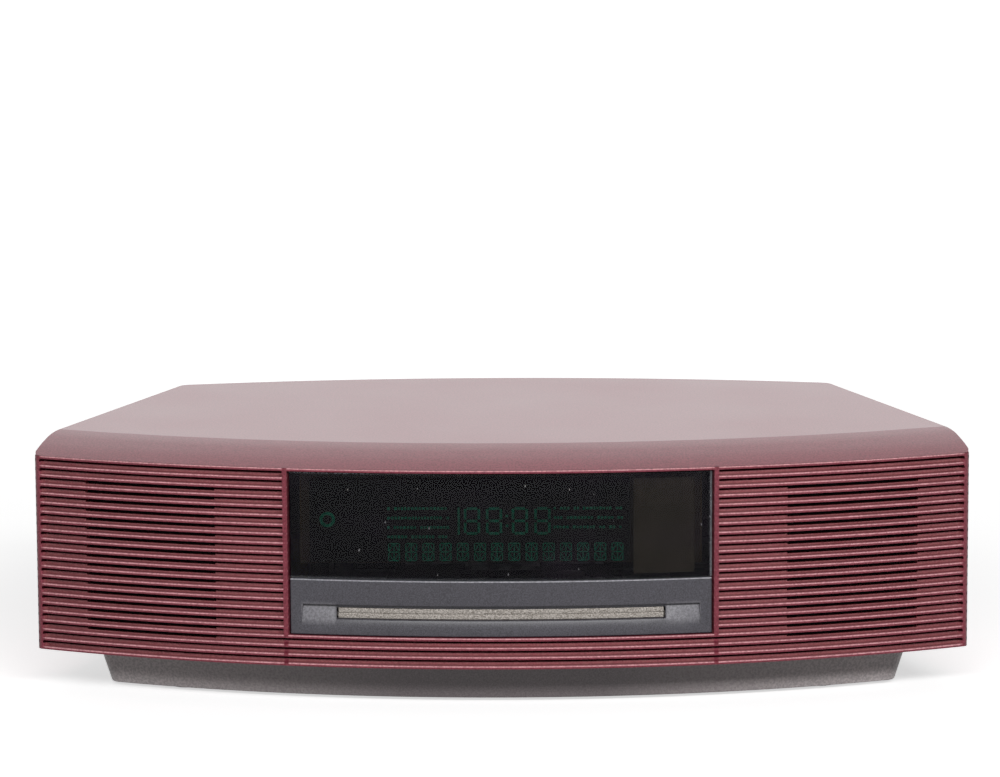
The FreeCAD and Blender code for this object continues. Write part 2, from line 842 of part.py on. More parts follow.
def remote_receiver():
    """Receiver for the remote control, beside the display."""
    back = display_y + display_thick
    front = back - receiver_half + 1
    body = box(receiver_x - receiver_half, receiver_x + receiver_half, front, back,
               display_z - receiver_half, display_z + receiver_half + 2)
    lens = rod(receiver_lens_r, Vector(receiver_x, front - receiver_lens_r / 2, display_z + 2),
               receiver_lens_r / 2 + seam, BACK)
    return body.fuse(lens)


def rear_panel_blank(grow):
    """Outline of the rear panel, grown by a clearance for the opening that it fills."""
    half = angle_at(panel_half + grow, rear_radius)
    inner = panel_inner - 2 * rear_bulge / 5
    low = case_bottom - BEYOND
    return band(inner, rear_radius + BEYOND, low, panel_top + grow, -half, half, rear_centre, 1)


def through_panel(left, right, low, high):
    """Cutter through the rear panel."""
    return box(left, right, rear_corner_y, rear_y + BEYOND, low, high)


def rear_panel():
    """Curved rear wall with vents, the duct's mouth and the socket holes."""
    outer = rear_radius - panel_inset
    half = angle_at(panel_half, outer)
    panel = band(panel_inner, outer, pan_top, panel_top, -half, half, rear_centre, 1)
    cuts = [through_panel(mouth_left, mouth_right, duct_low + duct_wall, duct_high - duct_wall - mouth_drop)]
    for number in range(vent_count):
        x = vent_left + number * vent_pitch
        cuts.append(through_panel(x, x + vent_width, vent_low, vent_high))
    for x, z, width, height in socket_holes():
        across = width / 2 + seam
        upright = height / 2 + seam
        cuts.append(through_panel(x - across, x + across, z - upright, z + upright))
    return panel.cut(cuts)


def socket_holes():
    """Middle, width and height of each socket in the rear panel."""
    level = board_level + board_thick
    jack_z = level + jack_body / 2
    return [
        (inlet_x, level + inlet_rise, inlet_width, inlet_height),
        (antenna_x, jack_z, jack_body, jack_body),
        (jack_x, jack_z, jack_body, jack_body),
        (jack_x + jack_pitch, jack_z, jack_body, jack_body),
        (link_x, level + link_body / 2, link_body, link_body),
    ]


def panel_y(x):
    """Outside of the rear panel at a distance from the middle."""
    return rear_centre + math.sqrt((rear_radius - panel_inset) ** 2 - x ** 2)


def socket_block(hole, depth):
    """Body of a socket that fills its hole in the rear panel."""
    x, z, width, height = hole
    face = panel_y(abs(x) + width / 2) + socket_proud
    return box(x - width / 2, x + width / 2, face - depth, face, z - height / 2, z + height / 2), face


def round_socket(hole, depth, radius, length):
    """Socket with one round bore."""
    body, face = socket_block(hole, depth)
    return body.cut(rod(radius, Vector(hole[0], face - length, hole[1]), length + BEYOND, BACK))


def mains_inlet():
    """Two pin inlet with a rounded recess."""
    hole = socket_holes()[0]
    body, face = socket_block(hole, inlet_depth)
    x, z = hole[0], hole[1]
    floor = face - recess_depth
    recess = box(x - recess_half, x + recess_half, floor, face + BEYOND, z - recess_r, z + recess_r)
    pins = []
    for side in (-1, 1):
        end = Vector(x + side * recess_half, floor, z)
        recess = recess.fuse(rod(recess_r, end, recess_depth + BEYOND, BACK))
        pins.append(rod(inlet_pin_r, Vector(x + side * pin_half, floor, z), pin_length, BACK))
    return [body.cut(recess)] + pins


def loader_frame():
    """Folded sheet frame of the disc mechanism."""
    low = frame_level
    floor = box(-frame_half, frame_half, frame_front, frame_rear, low, low + sheet)
    window = box(-frame_window_half, frame_window_half, frame_window_front, frame_window_rear - sheet,
                 low - BEYOND, low + sheet + BEYOND)
    folds = [
        box(-frame_half, frame_half, frame_rear - sheet, frame_rear, low, frame_wall_top - frame_rear_drop),
        box(-frame_half, frame_half, frame_front, frame_front + sheet, low, low + frame_front_fold),
    ]
    for left in (-frame_half, frame_half - sheet):
        folds.append(box(left, left + sheet, frame_front, frame_rear, low, frame_wall_top))
    across = 2 * (frame_half + BEYOND)
    start = -frame_half - BEYOND
    bores = [
        rod(roller_shaft_r + run, Vector(start, roller_y, roller_z), across, RIGHT),
        rod(arm_pin_r + press, Vector(start, arm_pivot_y, arm_pivot_z), across, RIGHT),
        rod(pin_r + run, Vector(start, deck_pivot_y, deck_pivot_z), across, RIGHT),
    ]
    idler = idler_place()
    axle_length = gear_gap + gear_width + sheet + shaft_proud
    axle = rod(idler_axle_r, Vector(frame_half - sheet, idler.y, idler.z), axle_length, RIGHT)
    return floor.cut(window).fuse(folds).cut(bores).fuse(axle).removeSplitter()


def idler_place():
    """Middle of the idler gear."""
    reach = loader_module * (roller_teeth + idler_teeth) / 2
    slope = math.radians(idler_angle)
    return Vector(gear_plane, roller_y + reach * math.cos(slope), roller_z - reach * math.sin(slope))


def pinion_place():
    """Middle of the loading motor's pinion, below and behind the idler."""
    reach = loader_module * (idler_teeth + pinion_teeth) / 2
    slope = math.radians(pinion_angle)
    return idler_place() + Vector(0, reach * math.cos(slope), -reach * math.sin(slope))


def loader_gears():
    """Roller gear, idler and motor pinion in mesh."""
    idler_turn = 180 - idler_angle
    roller_turn = 180 / roller_teeth - idler_angle
    roller_gear = gear(loader_module, roller_teeth, gear_width, roller_shaft_r, roller_turn)
    idler_gear = gear(loader_module, idler_teeth, gear_width, idler_axle_r + run, idler_turn)
    past_tooth = (-pinion_angle - idler_turn) % (360 / idler_teeth)
    pinion_turn = 180 - pinion_angle + 180 / pinion_teeth + past_tooth * idler_teeth / pinion_teeth
    pinion = gear(loader_module, pinion_teeth, gear_width, pinion_bore_r, pinion_turn)
    return (on_x_axis(roller_gear, Vector(gear_plane, roller_y, roller_z)),
            on_x_axis(idler_gear, idler_place()), on_x_axis(pinion, pinion_place()))


def roller_sleeves():
    """Two rubber sleeves that narrow towards the middle."""
    sleeves = []
    for side in (-1, 1):
        points = [
            (sleeve_inner, roller_shaft_r), (sleeve_inner, roller_waist_r),
            (sleeve_outer, roller_end_r), (sleeve_outer, roller_shaft_r)]
        face = polygon([Vector(side * x, roller_y, roller_z + r) for x, r in points])
        sleeves.append(face.revolve(Vector(0, roller_y, roller_z), RIGHT, 360))
    return sleeves


def loading_motor():
    """Motor beside the frame, on a bracket from the side wall."""
    place = pinion_place()
    start = gear_plane + gear_width + 2 * shaft_proud
    front = place.y - bracket_front
    rear = place.y + bracket_rear
    top = place.z + bracket_rise
    body = rod(loading_motor_r, Vector(start, place.y, place.z), loading_motor_length, RIGHT)
    boss = rod(2 * pinion_bore_r, Vector(start - shaft_proud, place.y, place.z), shaft_proud, RIGHT)
    bracket = box(start, start + sheet, front, rear, pan_top + BEYOND, top)
    foot = box(frame_half, start + sheet, rear - sheet, rear, pan_top + BEYOND, top)
    shaft = rod(pinion_bore_r, Vector(gear_plane + press, place.y, place.z), start - gear_plane, RIGHT)
    bore = rod(pinion_bore_r + run, Vector(frame_half, place.y, place.z), start, RIGHT)
    return body.fuse([boss, bracket, foot]).cut(bore), shaft


def disc_guide():
    """Guide plate over the roller, with ribs that keep off the disc's face."""
    low = disc_high + guide_rise
    half = frame_half - sheet
    front = frame_front + 2
    rear = roller_y + guide_rear
    plate = box(-half, half, front, rear, low, low + sheet)
    ribs = [box(x - 1, x + 1, front, rear, low - guide_rib, low) for x in guide_rib_places]
    return plate.fuse(ribs).removeSplitter()


def traverse_deck():
    """Plate that carries the spindle and the pickup, with rod holders and pivot ears."""
    below = deck_level - BEYOND
    through = deck_thick + 2 * BEYOND
    deck = box(-deck_half, deck_half, deck_front, deck_rear, deck_level, deck_top)
    deck = deck.cut([
        rod(2 * spindle_r, Vector(0, spindle_y, below), through, UP),
        box(-deck_slot_half, deck_slot_half, deck_slot_front, deck_rear - deck_slot_gap, below, below + through),
        rod(feed_axle_r + run, Vector(feed_gear_x, feed_gear_y, below), through, UP),
        rod(2 * motor_shaft_r, Vector(feed_motor_x, feed_gear_y, below), through, UP),
    ])
    pieces = []
    holder_top = rod_level + holder_rise
    for x in (-rod_x, rod_x):
        for y in (rod_front, deck_rear - holder_thick):
            pieces.append(box(x - holder_half, x + holder_half, y, y + holder_thick, deck_top, holder_top))
    inner = deck_half - ear_high
    ear_reach = frame_half - sheet - ear_gap - inner
    pin_reach = frame_half - soft_gap - inner
    for side in (-1, 1):
        ear_left = inner if side > 0 else -inner - ear_reach
        pin_left = inner if side > 0 else -inner - pin_reach
        pieces.append(box(ear_left, ear_left + ear_reach, deck_rear - holder_thick, deck_pivot_y + holder_half,
                          deck_level, deck_level + ear_high))
        pieces.append(rod(pin_r, Vector(pin_left, deck_pivot_y, deck_pivot_z), pin_reach, RIGHT))
    deck = deck.fuse(pieces)
    bores = [rod(rod_r + press, Vector(x, rod_front + BEYOND, rod_level), rod_length() + seam, BACK)
             for x in (-rod_x, rod_x)]
    return deck.cut(bores).removeSplitter()


def rod_length():
    """Length of a guide rod, which ends inside both of its holders."""
    return deck_rear - rod_front - 2 * BEYOND - seam


def sled_rods():
    """Two steel guide rods."""
    return [rod(rod_r, Vector(x, rod_front + BEYOND + seam / 2, rod_level), rod_length(), BACK)
            for x in (-rod_x, rod_x)]


def spindle_motor():
    """Flat motor under the deck."""
    low = deck_level - spindle_motor_depth
    body = rod(spindle_motor_r, Vector(0, spindle_y, low), spindle_motor_depth, UP)
    return body.cut(rod(spindle_r + run, Vector(0, spindle_y, low + BEYOND), spindle_motor_depth, UP))


def turntable():
    """Disc table with a centring nose, and its shaft."""
    low = disc_low - table_thick
    top = disc_low + hub_rise
    points = [
        (spindle_r, low), (table_r, low), (table_r, disc_low), (hub_r, disc_low),
        (hub_r, disc_low + hub_rise / 2), (hub_r - hub_taper, top), (spindle_r, top)]
    face = polygon([Vector(r, spindle_y, z) for r, z in points])
    table = face.revolve(Vector(0, spindle_y, 0), UP, 360)
    shaft_low = deck_level - spindle_motor_depth + BEYOND + 2 * seam
    return table, rod(spindle_r, Vector(0, spindle_y, shaft_low), top - shaft_low, UP)


def pickup_sled():
    """Carriage with its lens, rod bores and toothed rack."""
    front = sled_rest_y - sled_length / 2
    rear = sled_rest_y + sled_length / 2
    body = box(-sled_half, sled_half, front, rear, sled_low, sled_high)
    body = body.fuse(rod(lens_r, Vector(0, sled_rest_y, sled_high - seam), lens_rise + seam, UP))
    rack_rear = feed_gear_y + rack_overlap
    rack_front = rack_rear - sled_travel - 2 * rack_overlap
    root = rack_face - feed_module
    tip = rack_face + feed_module * 0.85
    arm = box(sled_half - BEYOND, root, front, rack_rear, rack_low, rack_high)
    bar = box(root - rack_back, root, rack_front, rack_rear, rack_low, rack_high)
    pitch = math.pi * feed_module
    teeth = []
    for number in range(int((rack_rear - rack_front) / pitch)):
        y = feed_gear_y + (1.5 - number) * pitch
        outline = ((root - 2 * seam, -0.36), (tip, -0.11), (tip, 0.11), (root - 2 * seam, 0.36))
        points = [Vector(x, y + share * pitch, rack_low) for x, share in outline]
        teeth.append(polygon(points).extrude(Vector(0, 0, rack_high - rack_low)))
    body = body.fuse([arm, bar] + teeth)
    bores = [rod(rod_r + run, Vector(x, front, rod_level), sled_length, BACK) for x in (-rod_x, rod_x)]
    return body.cut(bores).removeSplitter()


def feed_gears():
    """Compound feed gear with its axle, and the feed motor's pinion with its shaft."""
    wheel_low = deck_top + wheel_rise
    wheel_high = wheel_low + wheel_width
    wheel = gear(drive_module, drive_teeth, wheel_width, feed_axle_r, 0)
    wheel.translate(Vector(feed_gear_x, feed_gear_y, wheel_low))
    small = gear(feed_module, feed_rack_teeth, rack_high + 2 * seam - wheel_high, feed_axle_r, 180)
    small.translate(Vector(feed_gear_x, feed_gear_y, wheel_high))
    axle_low = deck_level - shaft_proud
    axle = rod(feed_axle_r, Vector(feed_gear_x, feed_gear_y, axle_low), rack_high + 2 * seam - axle_low, UP)
    pinion_low = deck_top + seam
    pinion_turn = 180 + 180 / drive_pinion_teeth
    pinion = gear(drive_module, drive_pinion_teeth, drive_pinion_width, feed_shaft_r, pinion_turn)
    pinion.translate(Vector(feed_motor_x, feed_gear_y, pinion_low))
    shaft_low = deck_level - feed_motor_depth / 2
    shaft = rod(feed_shaft_r, Vector(feed_motor_x, feed_gear_y, shaft_low),
                pinion_low + drive_pinion_width + seam - shaft_low, UP)
    return wheel.fuse([small, axle]).removeSplitter(), pinion.fuse(shaft).removeSplitter()


def feed_motor():
    """Small motor under the deck."""
    low = deck_level - feed_motor_depth
    body = rod(feed_motor_r, Vector(feed_motor_x, feed_gear_y, low), feed_motor_depth, UP)
    bore_start = Vector(feed_motor_x, feed_gear_y, low + BEYOND)
    return body.cut(rod(feed_shaft_r + run, bore_start, feed_motor_depth, UP))


def clamp_arm():
    """Arm that lowers the puck on a disc."""
    front = spindle_y - arm_reach
    arm_top = arm_level + arm_thick
    plate = box(-arm_half, arm_half, front, arm_pivot_y - BEYOND, arm_level, arm_top)
    hub = rod(arm_hub_r, Vector(-arm_hub_half, arm_pivot_y, arm_pivot_z), 2 * arm_hub_half, RIGHT)
    ribs = [box(x - arm_rib_half, x + arm_rib_half, front + arm_hub_r, arm_pivot_y,
                arm_top, arm_top + arm_rib_rise) for x in (-arm_rib_x, arm_rib_x)]
    return plate.fuse([hub] + ribs).cut([
        rod(arm_pin_r + run, Vector(-frame_half, arm_pivot_y, arm_pivot_z), 2 * frame_half, RIGHT),
        rod(puck_hole_r, Vector(0, spindle_y, arm_level), arm_thick, UP),
        box(-arm_cut_half, arm_cut_half, arm_cut_front, arm_cut_rear, arm_level, arm_top),
    ]).removeSplitter()


def clamp_puck():
    """Puck that presses the disc on its table."""
    low = disc_high + puck_drop
    shoulder = arm_level - shaft_proud
    cap_low = arm_level + arm_thick + puck_play
    top = cap_low + puck_cap
    inner = hub_r + puck_gap
    points = [
        (inner, low), (puck_r, low), (puck_r, shoulder), (puck_neck_r, shoulder), (puck_neck_r, cap_low),
        (puck_cap_r, cap_low), (puck_cap_r, top), (0, top), (0, low + puck_floor), (inner, low + puck_floor)]
    face = polygon([Vector(r, spindle_y, z) for r, z in points])
    return face.revolve(Vector(0, spindle_y, 0), UP, 360)


def dampers():
    """Rubber posts under the disc mechanism."""
    posts = []
    for x in (-damper_x, damper_x):
        for y in (damper_front_y, damper_rear_y):
            posts.append(rod(damper_r, Vector(x, y, pan_top), frame_level - pan_top, UP))
    return posts


def duct_block(inset, low, high):
    """Block over the duct's outline, moved in by the inset; its rear follows the rear panel."""
    half = duct_half - inset
    block = box(-half, half, duct_front + inset, rear_y, low, high)
    return block.common(rod(panel_inner - duct_clear - inset, Vector(0, rear_centre, low), high - low, UP))


def sound_duct():
    """Folded duct behind the loudspeakers, open at the top, with its mouth at the rear panel."""
    low, high = duct_low, duct_high - duct_wall
    shell = duct_block(0, low, high).cut(duct_block(duct_wall, low + duct_wall, high + BEYOND))
    for fold in (1, 2, 3):
        y = duct_front + fold * duct_bay
        left = -duct_half if fold % 2 else -duct_half + duct_turn
        right = duct_half - duct_turn if fold % 2 else duct_half
        shell = shell.fuse(box(left, right, y - duct_wall / 2, y + duct_wall / 2, low, high))
    inlets = []
    for side in (-duct_half, duct_half):
        inlets.append(box(side - duct_wall - BEYOND, side + duct_wall + BEYOND,
                          duct_front + duct_inlet_inset, duct_front + duct_bay - duct_inlet_inset,
                          low + duct_inlet_inset, high - duct_inlet_inset))
    mouth = box(mouth_left, mouth_right, duct_front + 3 * duct_bay + duct_wall, rear_y,
                low + duct_wall, high - mouth_drop)
    return shell.cut(inlets + [mouth]).removeSplitter()


def heat_sink():
    """Finned block beside the main board."""
    rear = main_board_rear - post_inset
    base_top = pan_top + sink_base
    base = box(sink_left, sink_right, main_board_front, rear, pan_top, base_top)
    pitch = (sink_right - sink_left - fin_thick) / (sink_fins - 1)
    fins = []
    for number in range(sink_fins):
        x = sink_left + number * pitch
        fins.append(box(x, x + fin_thick, main_board_front, rear, base_top, base_top + fin_height))
    return base.fuse(fins).removeSplitter()


def main_board():
    """Circuit board on four posts."""
    board = box(main_board_left, main_board_right, main_board_front, main_board_rear,
                board_level, board_level + board_thick)
    posts = [rod(post_r, Vector(x, y, pan_top), board_level - pan_top, UP)
             for x in (main_board_left + post_inset, main_board_right - post_inset)
             for y in (main_board_front + post_inset, main_board_rear - post_inset)]
    return board.fuse(posts).removeSplitter()


def on_board(place):
    """Block on the main board, from the board's left and front edge, with its length, width and height."""
    x, y, length, width, height = place
    left = main_board_left + x
    front = main_board_front + y
    level = board_level + board_thick
    return box(left, left + length, front, front + width, level, level + height)


def board_parts():
    """Capacitors, a chip and a coil on the main board."""
    level = board_level + board_thick
    cans = [rod(radius, Vector(main_board_left + x, main_board_front + y, level), height, UP)
            for x, y, radius, height in capacitors]
    return cans + [on_board(place) for place in board_blocks]


def transformer():
    """Laminated core, coil and strap."""
    low = pan_top + strap_thick
    top = low + core_height
    x = (core_left + core_right) / 2
    y = (coil_front + coil_rear) / 2
    core_front = y - core_thick / 2
    core_rear = y + core_thick / 2
    core = box(core_left, core_right, core_front, core_rear, low, top)
    inner = core_leg / 2 + coil_gap / 2
    for side in (-1, 1):
        near, far = sorted((x + side * (core_leg / 2), x + side * (core_leg / 2 + core_window)))
        core = core.cut(box(near, far, core_front, core_rear, low + core_yoke, top - core_yoke))
    coil_low = low + core_yoke + coil_gap
    coil_high = top - core_yoke - coil_gap
    coil = box(x - coil_half, x + coil_half, coil_front, coil_rear, coil_low, coil_high)
    coil = coil.makeFillet(coil_corner_r, [edge for edge in coil.Edges if edge.BoundBox.ZLength > coil_gap])
    passage = box(x - inner, x + inner, core_front - seam, core_rear + seam, coil_low, coil_high)
    coil = coil.cut(passage)
    strap_front = y - strap_width / 2
    strap_rear = y + strap_width / 2
    strap = box(core_left - strap_ear, core_right + strap_ear, strap_front, strap_rear, pan_top, low)
    over = box(core_left - strap_thick, core_right + strap_thick, strap_front, strap_rear,
               low, top + strap_thick)
    strap = strap.fuse(over.cut(box(core_left, core_right, strap_front, strap_rear, low, top)))
    return core, coil, strap.removeSplitter()


def build_speakers():
    """Write the left and right loudspeakers."""
    sets = {
        "speaker_gasket": [speaker_gasket()],
        "speaker_basket": [speaker_basket()],
        "speaker_magnet": speaker_magnet(),
        "speaker_cone": [speaker_cone()],
        "speaker_surround": [speaker_surround()],
        "speaker_spider": [speaker_spider()],
    }
    for name, shapes in sets.items():
        for side, word in ((-1, "left"), (1, "right")):
            save(name + "_" + word, *[speaker_turned(shape, side) for shape in shapes])


def build_case():
    """Write the case and its front."""
    save("top_cover", top_cover())
    save("front_grille", front_grille())
    save("display_window", display_window())
    save("slot_bezel", slot_bezel())
    save("slot_felt_upper", slot_felt(1))
    save("slot_felt_lower", slot_felt(-1))
    save("base_plinth", plinth())
    save("feet", *feet())
    save("bottom_pan", bottom_pan())
    save("case_screws", *case_screws())
    save("rear_panel", rear_panel())


def build_electronics():
    """Write the boards, sockets, transformer and duct."""
    save("display_tube", display_tube())
    save("display_board", display_board())
    save("remote_receiver", remote_receiver())
    save("main_board", main_board())
    save("board_parts", *board_parts())
    save("tuner_can", on_board(tuner))
    save("heat_sink", heat_sink())
    holes = socket_holes()
    save("mains_inlet", *mains_inlet())
    save("antenna_socket", round_socket(holes[1], jack_depth, jack_r, jack_length))
    save("audio_jacks", *[round_socket(hole, jack_depth, jack_r, jack_length) for hole in holes[2:4]])
    save("link_socket", round_socket(holes[4], link_depth, link_r, link_length))
    core, coil, strap = transformer()
    save("transformer_core", core)
    save("transformer_coil", coil)
    save("transformer_strap", strap)
    save("sound_duct", sound_duct())
    save("duct_lid", duct_block(0, duct_high - duct_wall, duct_high))


def build_mechanism():
    """Write the disc mechanism."""
    save("loader_frame", loader_frame())
    save("frame_dampers", *dampers())
    save("disc_guide", disc_guide())
    save("roller_sleeves", *roller_sleeves())
    shaft_left = -frame_half - BEYOND
    shaft_right = gear_plane + gear_width + shaft_proud / 2
    shaft_start = Vector(shaft_left, roller_y, roller_z)
    save("roller_shaft", rod(roller_shaft_r, shaft_start, shaft_right - shaft_left, RIGHT))
    roller_gear, idler_gear, pinion = loader_gears()
    save("roller_gear", roller_gear)
    save("idler_gear", idler_gear)
    motor, shaft = loading_motor()
    save("motor_pinion", pinion, shaft)
    save("loading_motor", motor)
    save("traverse_deck", traverse_deck())
    save("sled_rods", *sled_rods())
    save("spindle_motor", spindle_motor())
    table, table_shaft = turntable()
    save("turntable", table)
    save("spindle_shaft", table_shaft)
    save("pickup_sled", pickup_sled())
    feed_gear, feed_pinion = feed_gears()
    save("feed_gear", feed_gear)
    save("feed_pinion", feed_pinion)
    save("feed_motor", feed_motor())
    save("clamp_arm", clamp_arm())
    save("clamp_puck", clamp_puck())
    save("clamp_pivot", rod(arm_pin_r, Vector(-frame_half, arm_pivot_y, arm_pivot_z), 2 * frame_half, RIGHT))


os.makedirs("parts", exist_ok=True)
build_case()
build_speakers()
build_electronics()
build_mechanism()
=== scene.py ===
import json
import math
import random
from typing import NamedTuple

import bmesh
import bpy
from mathutils import Matrix, Vector

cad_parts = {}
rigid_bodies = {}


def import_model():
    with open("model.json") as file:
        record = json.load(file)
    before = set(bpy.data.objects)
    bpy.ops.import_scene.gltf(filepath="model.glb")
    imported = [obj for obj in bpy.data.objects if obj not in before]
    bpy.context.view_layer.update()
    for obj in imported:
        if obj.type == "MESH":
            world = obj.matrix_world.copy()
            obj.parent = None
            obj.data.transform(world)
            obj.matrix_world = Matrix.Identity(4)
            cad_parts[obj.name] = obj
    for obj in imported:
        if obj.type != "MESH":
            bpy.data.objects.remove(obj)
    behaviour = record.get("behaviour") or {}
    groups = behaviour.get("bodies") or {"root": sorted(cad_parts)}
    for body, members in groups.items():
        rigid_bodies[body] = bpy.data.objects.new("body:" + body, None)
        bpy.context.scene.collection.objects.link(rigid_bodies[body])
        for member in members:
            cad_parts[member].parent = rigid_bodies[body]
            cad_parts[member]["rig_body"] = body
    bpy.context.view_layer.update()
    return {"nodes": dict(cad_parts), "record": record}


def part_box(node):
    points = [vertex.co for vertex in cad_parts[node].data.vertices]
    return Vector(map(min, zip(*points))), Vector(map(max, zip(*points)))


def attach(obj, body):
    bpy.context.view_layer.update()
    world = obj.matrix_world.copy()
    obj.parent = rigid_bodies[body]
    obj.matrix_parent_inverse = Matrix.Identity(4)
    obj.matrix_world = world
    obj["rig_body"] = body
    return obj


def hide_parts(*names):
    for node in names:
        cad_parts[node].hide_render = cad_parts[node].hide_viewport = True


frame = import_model()

# Looks of a tabletop CD radio. Everything is in metres, in the frame's own axes:
# +Z is up, the bowed front faces -Y and +X is to the right.

MM = 0.001
UP = Vector((0, 0, 1))

# Camera, where the photograph was taken from
CAMERA_PLACE = Vector((17.7, -1565.0, 328.6)) * MM
CAMERA_YAW = math.radians(-0.69)
CAMERA_PITCH = math.radians(-7.87)
CAMERA_ROLL = math.radians(-0.29)
CAMERA_LENS = 138.7
CAMERA_SENSOR = 36.0

# Case outline and front
front_low, front_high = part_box("front_grille")
CASE_HALF = 184.8 * MM          # from the middle to a front corner, before it is rounded
FRONT_BULGE = 42.5 * MM
REAR_HALF = 140.7 * MM
SIDE_DEPTH = 153.0 * MM
CORNER_ROUND = 3.0 * MM
CORNER_TURN = math.radians(80)
FRONT_Y = front_low.y
CASE_BOTTOM = front_low.z
CASE_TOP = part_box("top_cover")[1].z
FRONT_RADIUS = (CASE_HALF ** 2 + FRONT_BULGE ** 2) / (2 * FRONT_BULGE)
FRONT_CENTRE = FRONT_Y + FRONT_RADIUS
CORNER_Y = FRONT_Y + FRONT_BULGE
CREASE_RADIUS = FRONT_RADIUS - 24.0 * MM

# Ribs
RIB_COUNT = 22
RIB_PITCH = 3.64 * MM
RIB_TIP = 1.1 * MM
RIB_ROOT = 1.9 * MM
RIB_DEPTH = 2.4 * MM
RIB_SOFTNESS = 0.5 * MM
FRONT_DEPTH = 4.8 * MM
GROOVES = range(1, RIB_COUNT)
GROOVE_END = 2.2 * MM           # from a groove's end to the corner
RUN_OUT = 1.8 * MM              # over which a groove's floor comes up to the face
WEB_RADIUS = FRONT_RADIUS - RIB_DEPTH
INNER_RADIUS = FRONT_RADIUS - FRONT_DEPTH
TOP_RIB = CASE_BOTTOM + RIB_TIP / 2 + RIB_PITCH * (RIB_COUNT - 1)
LIP = TOP_RIB + RIB_TIP / 2

# Centre opening and sound slots
OPENING_HALF = 82.5 * MM
OPENING_BAR = 1.8 * MM
OPENING_GROOVES = range(1, 19)
SOUND_INNER = 111.8 * MM
SOUND_OUTER = 164.4 * MM
SOUND_SILL = 0.35 * MM          # left under a sound slot
SOUND_GROOVES = range(3, 20)

# Facets round the front
COLUMN = 3.0 * MM
RUN_OUT_COLUMN = 0.3 * MM
PAST_CORNER = 4.0 * MM          # the front is made this much too long, and then cut at its ends

# Painted shade in the grooves, on the part of each floor that lies under its rib
PAINTED_SHADE_SHARE = 0.48              # of a groove's floor that lies in the dark under its rib
PAINTED_SHADE_DEPTHS = (0.3 * MM, RIB_DEPTH + 0.1 * MM)
PAINTED_SHADE_PHASES = (0.5, 0.87)      # shares of the pitch above the middle of a rib

# Felt in the disc slot
SLOT_HALF = 63.6 * MM
SLOT_MIDDLE = CASE_BOTTOM + 20.8 * MM
SLOT_REACH = 2.1 * MM           # from the slot's middle to its edges
SCOOP_HALF = 77.4 * MM
FELT_FACE = FRONT_RADIUS - 3.9 * MM
FELT_BACK = FRONT_RADIUS - 7.9 * MM
FELT_PARTING = 0.04 * MM        # from the slot's middle to either strip

# Heights that the photograph puts a little lower than the solids do:
# the height in the solids, and how far it comes down
SETTLING = (
    (CASE_BOTTOM + 12.0 * MM, 0.0),
    (CASE_BOTTOM + 16.4 * MM, 0.7 * MM),      # lower edge of the slot's scoop
    (CASE_BOTTOM + 19.0 * MM, 1.4 * MM),      # slot
    (CASE_BOTTOM + 26.0 * MM, 1.4 * MM),
    (CASE_BOTTOM + 37.0 * MM, 2.8 * MM),      # between the bezel and the window
    (front_high.z, front_high.z - LIP),
    (CASE_TOP, 0.0),
)

# Angles by which the surface turns at an edge
SHARP = math.radians(28)        # a sharp edge turns by more
FAINT = math.radians(5)         # a faint crease turns by more
FLAT = math.radians(0.3)        # faces that turn by less are one flat face

# Rounded edges: their width and how many facets they have
CORNER_FACETS = 5
RIB_FACETS = 4
FELT_SOFTNESS = 0.35 * MM
FELT_FACETS = 3
CREASE_SOFTNESS = 2.4 * MM
CREASE_FACETS = 5
COVER_SOFTNESS = 0.4 * MM
COVER_FACETS = 3
COVER_SETTLES_FROM = front_high.z - 0.5 * MM

# Nodes that get rounded edges: width, facets, and whether their heights settle
ROUNDED_NODES = (
    ("display_window", 0.5 * MM, 3, True),
    ("slot_bezel", 0.4 * MM, 3, True),
    ("slot_felt_upper", 0.3 * MM, 2, True),
    ("slot_felt_lower", 0.3 * MM, 2, True),
    ("base_plinth", 0.6 * MM, 3, False),
    ("rear_panel", 0.3 * MM, 2, False),
    ("feet", 0.5 * MM, 2, False),
)

# Distances within which two places count as one
CUT_MATCH = 0.0001 * MM
HEIGHT_MATCH = 0.0001 * MM
NODE_MERGE = 0.002 * MM
FRONT_MERGE = 0.005 * MM
SAME_PLACE = 0.01 * MM
CORNER_MATCH = 0.1 * MM
CREASE_MATCH = 0.5 * MM


def settled(height):
    """A height of the solids, brought down to where the photograph has it."""
    for (low, low_drop), (high, high_drop) in zip(SETTLING, SETTLING[1:]):
        if low < height <= high:
            return height - low_drop - (high_drop - low_drop) * (height - low) / (high - low)
    return height


# Tools for finishes

def colour(red, green, blue):
    """A colour as it looks on screen, from 0 to 255, in the shader's own units."""
    shares = [channel / 255 for channel in (red, green, blue)]
    linear = [c / 12.92 if c <= 0.04 else ((c + 0.055) / 1.055) ** 2.4 for c in shares]
    return (*linear, 1.0)


def new_finish(name, roughness, metallic=0.0, specular=0.5):
    """Material with one shader; returns it with its tree, shader and object coordinates."""
    material = bpy.data.materials.new(name)
    material.use_nodes = True
    tree = material.node_tree
    shader = tree.nodes["Principled BSDF"]
    shader.inputs["Roughness"].default_value = roughness
    shader.inputs["Metallic"].default_value = metallic
    shader.inputs["Specular IOR Level"].default_value = specular
    place = tree.nodes.new("ShaderNodeTexCoord").outputs["Object"]
    return material, tree, shader, place


def stretched(tree, place, scale):
    """Object coordinates, stretched along the axes."""
    mapping = tree.nodes.new("ShaderNodeMapping")
    mapping.inputs["Scale"].default_value = scale
    tree.links.new(place, mapping.inputs["Vector"])
    return mapping.outputs["Vector"]


def axes_of(tree, place):
    """The X, Y and Z of a place."""
    parts = tree.nodes.new("ShaderNodeSeparateXYZ")
    tree.links.new(place, parts.inputs["Vector"])
    return parts.outputs["X"], parts.outputs["Y"], parts.outputs["Z"]


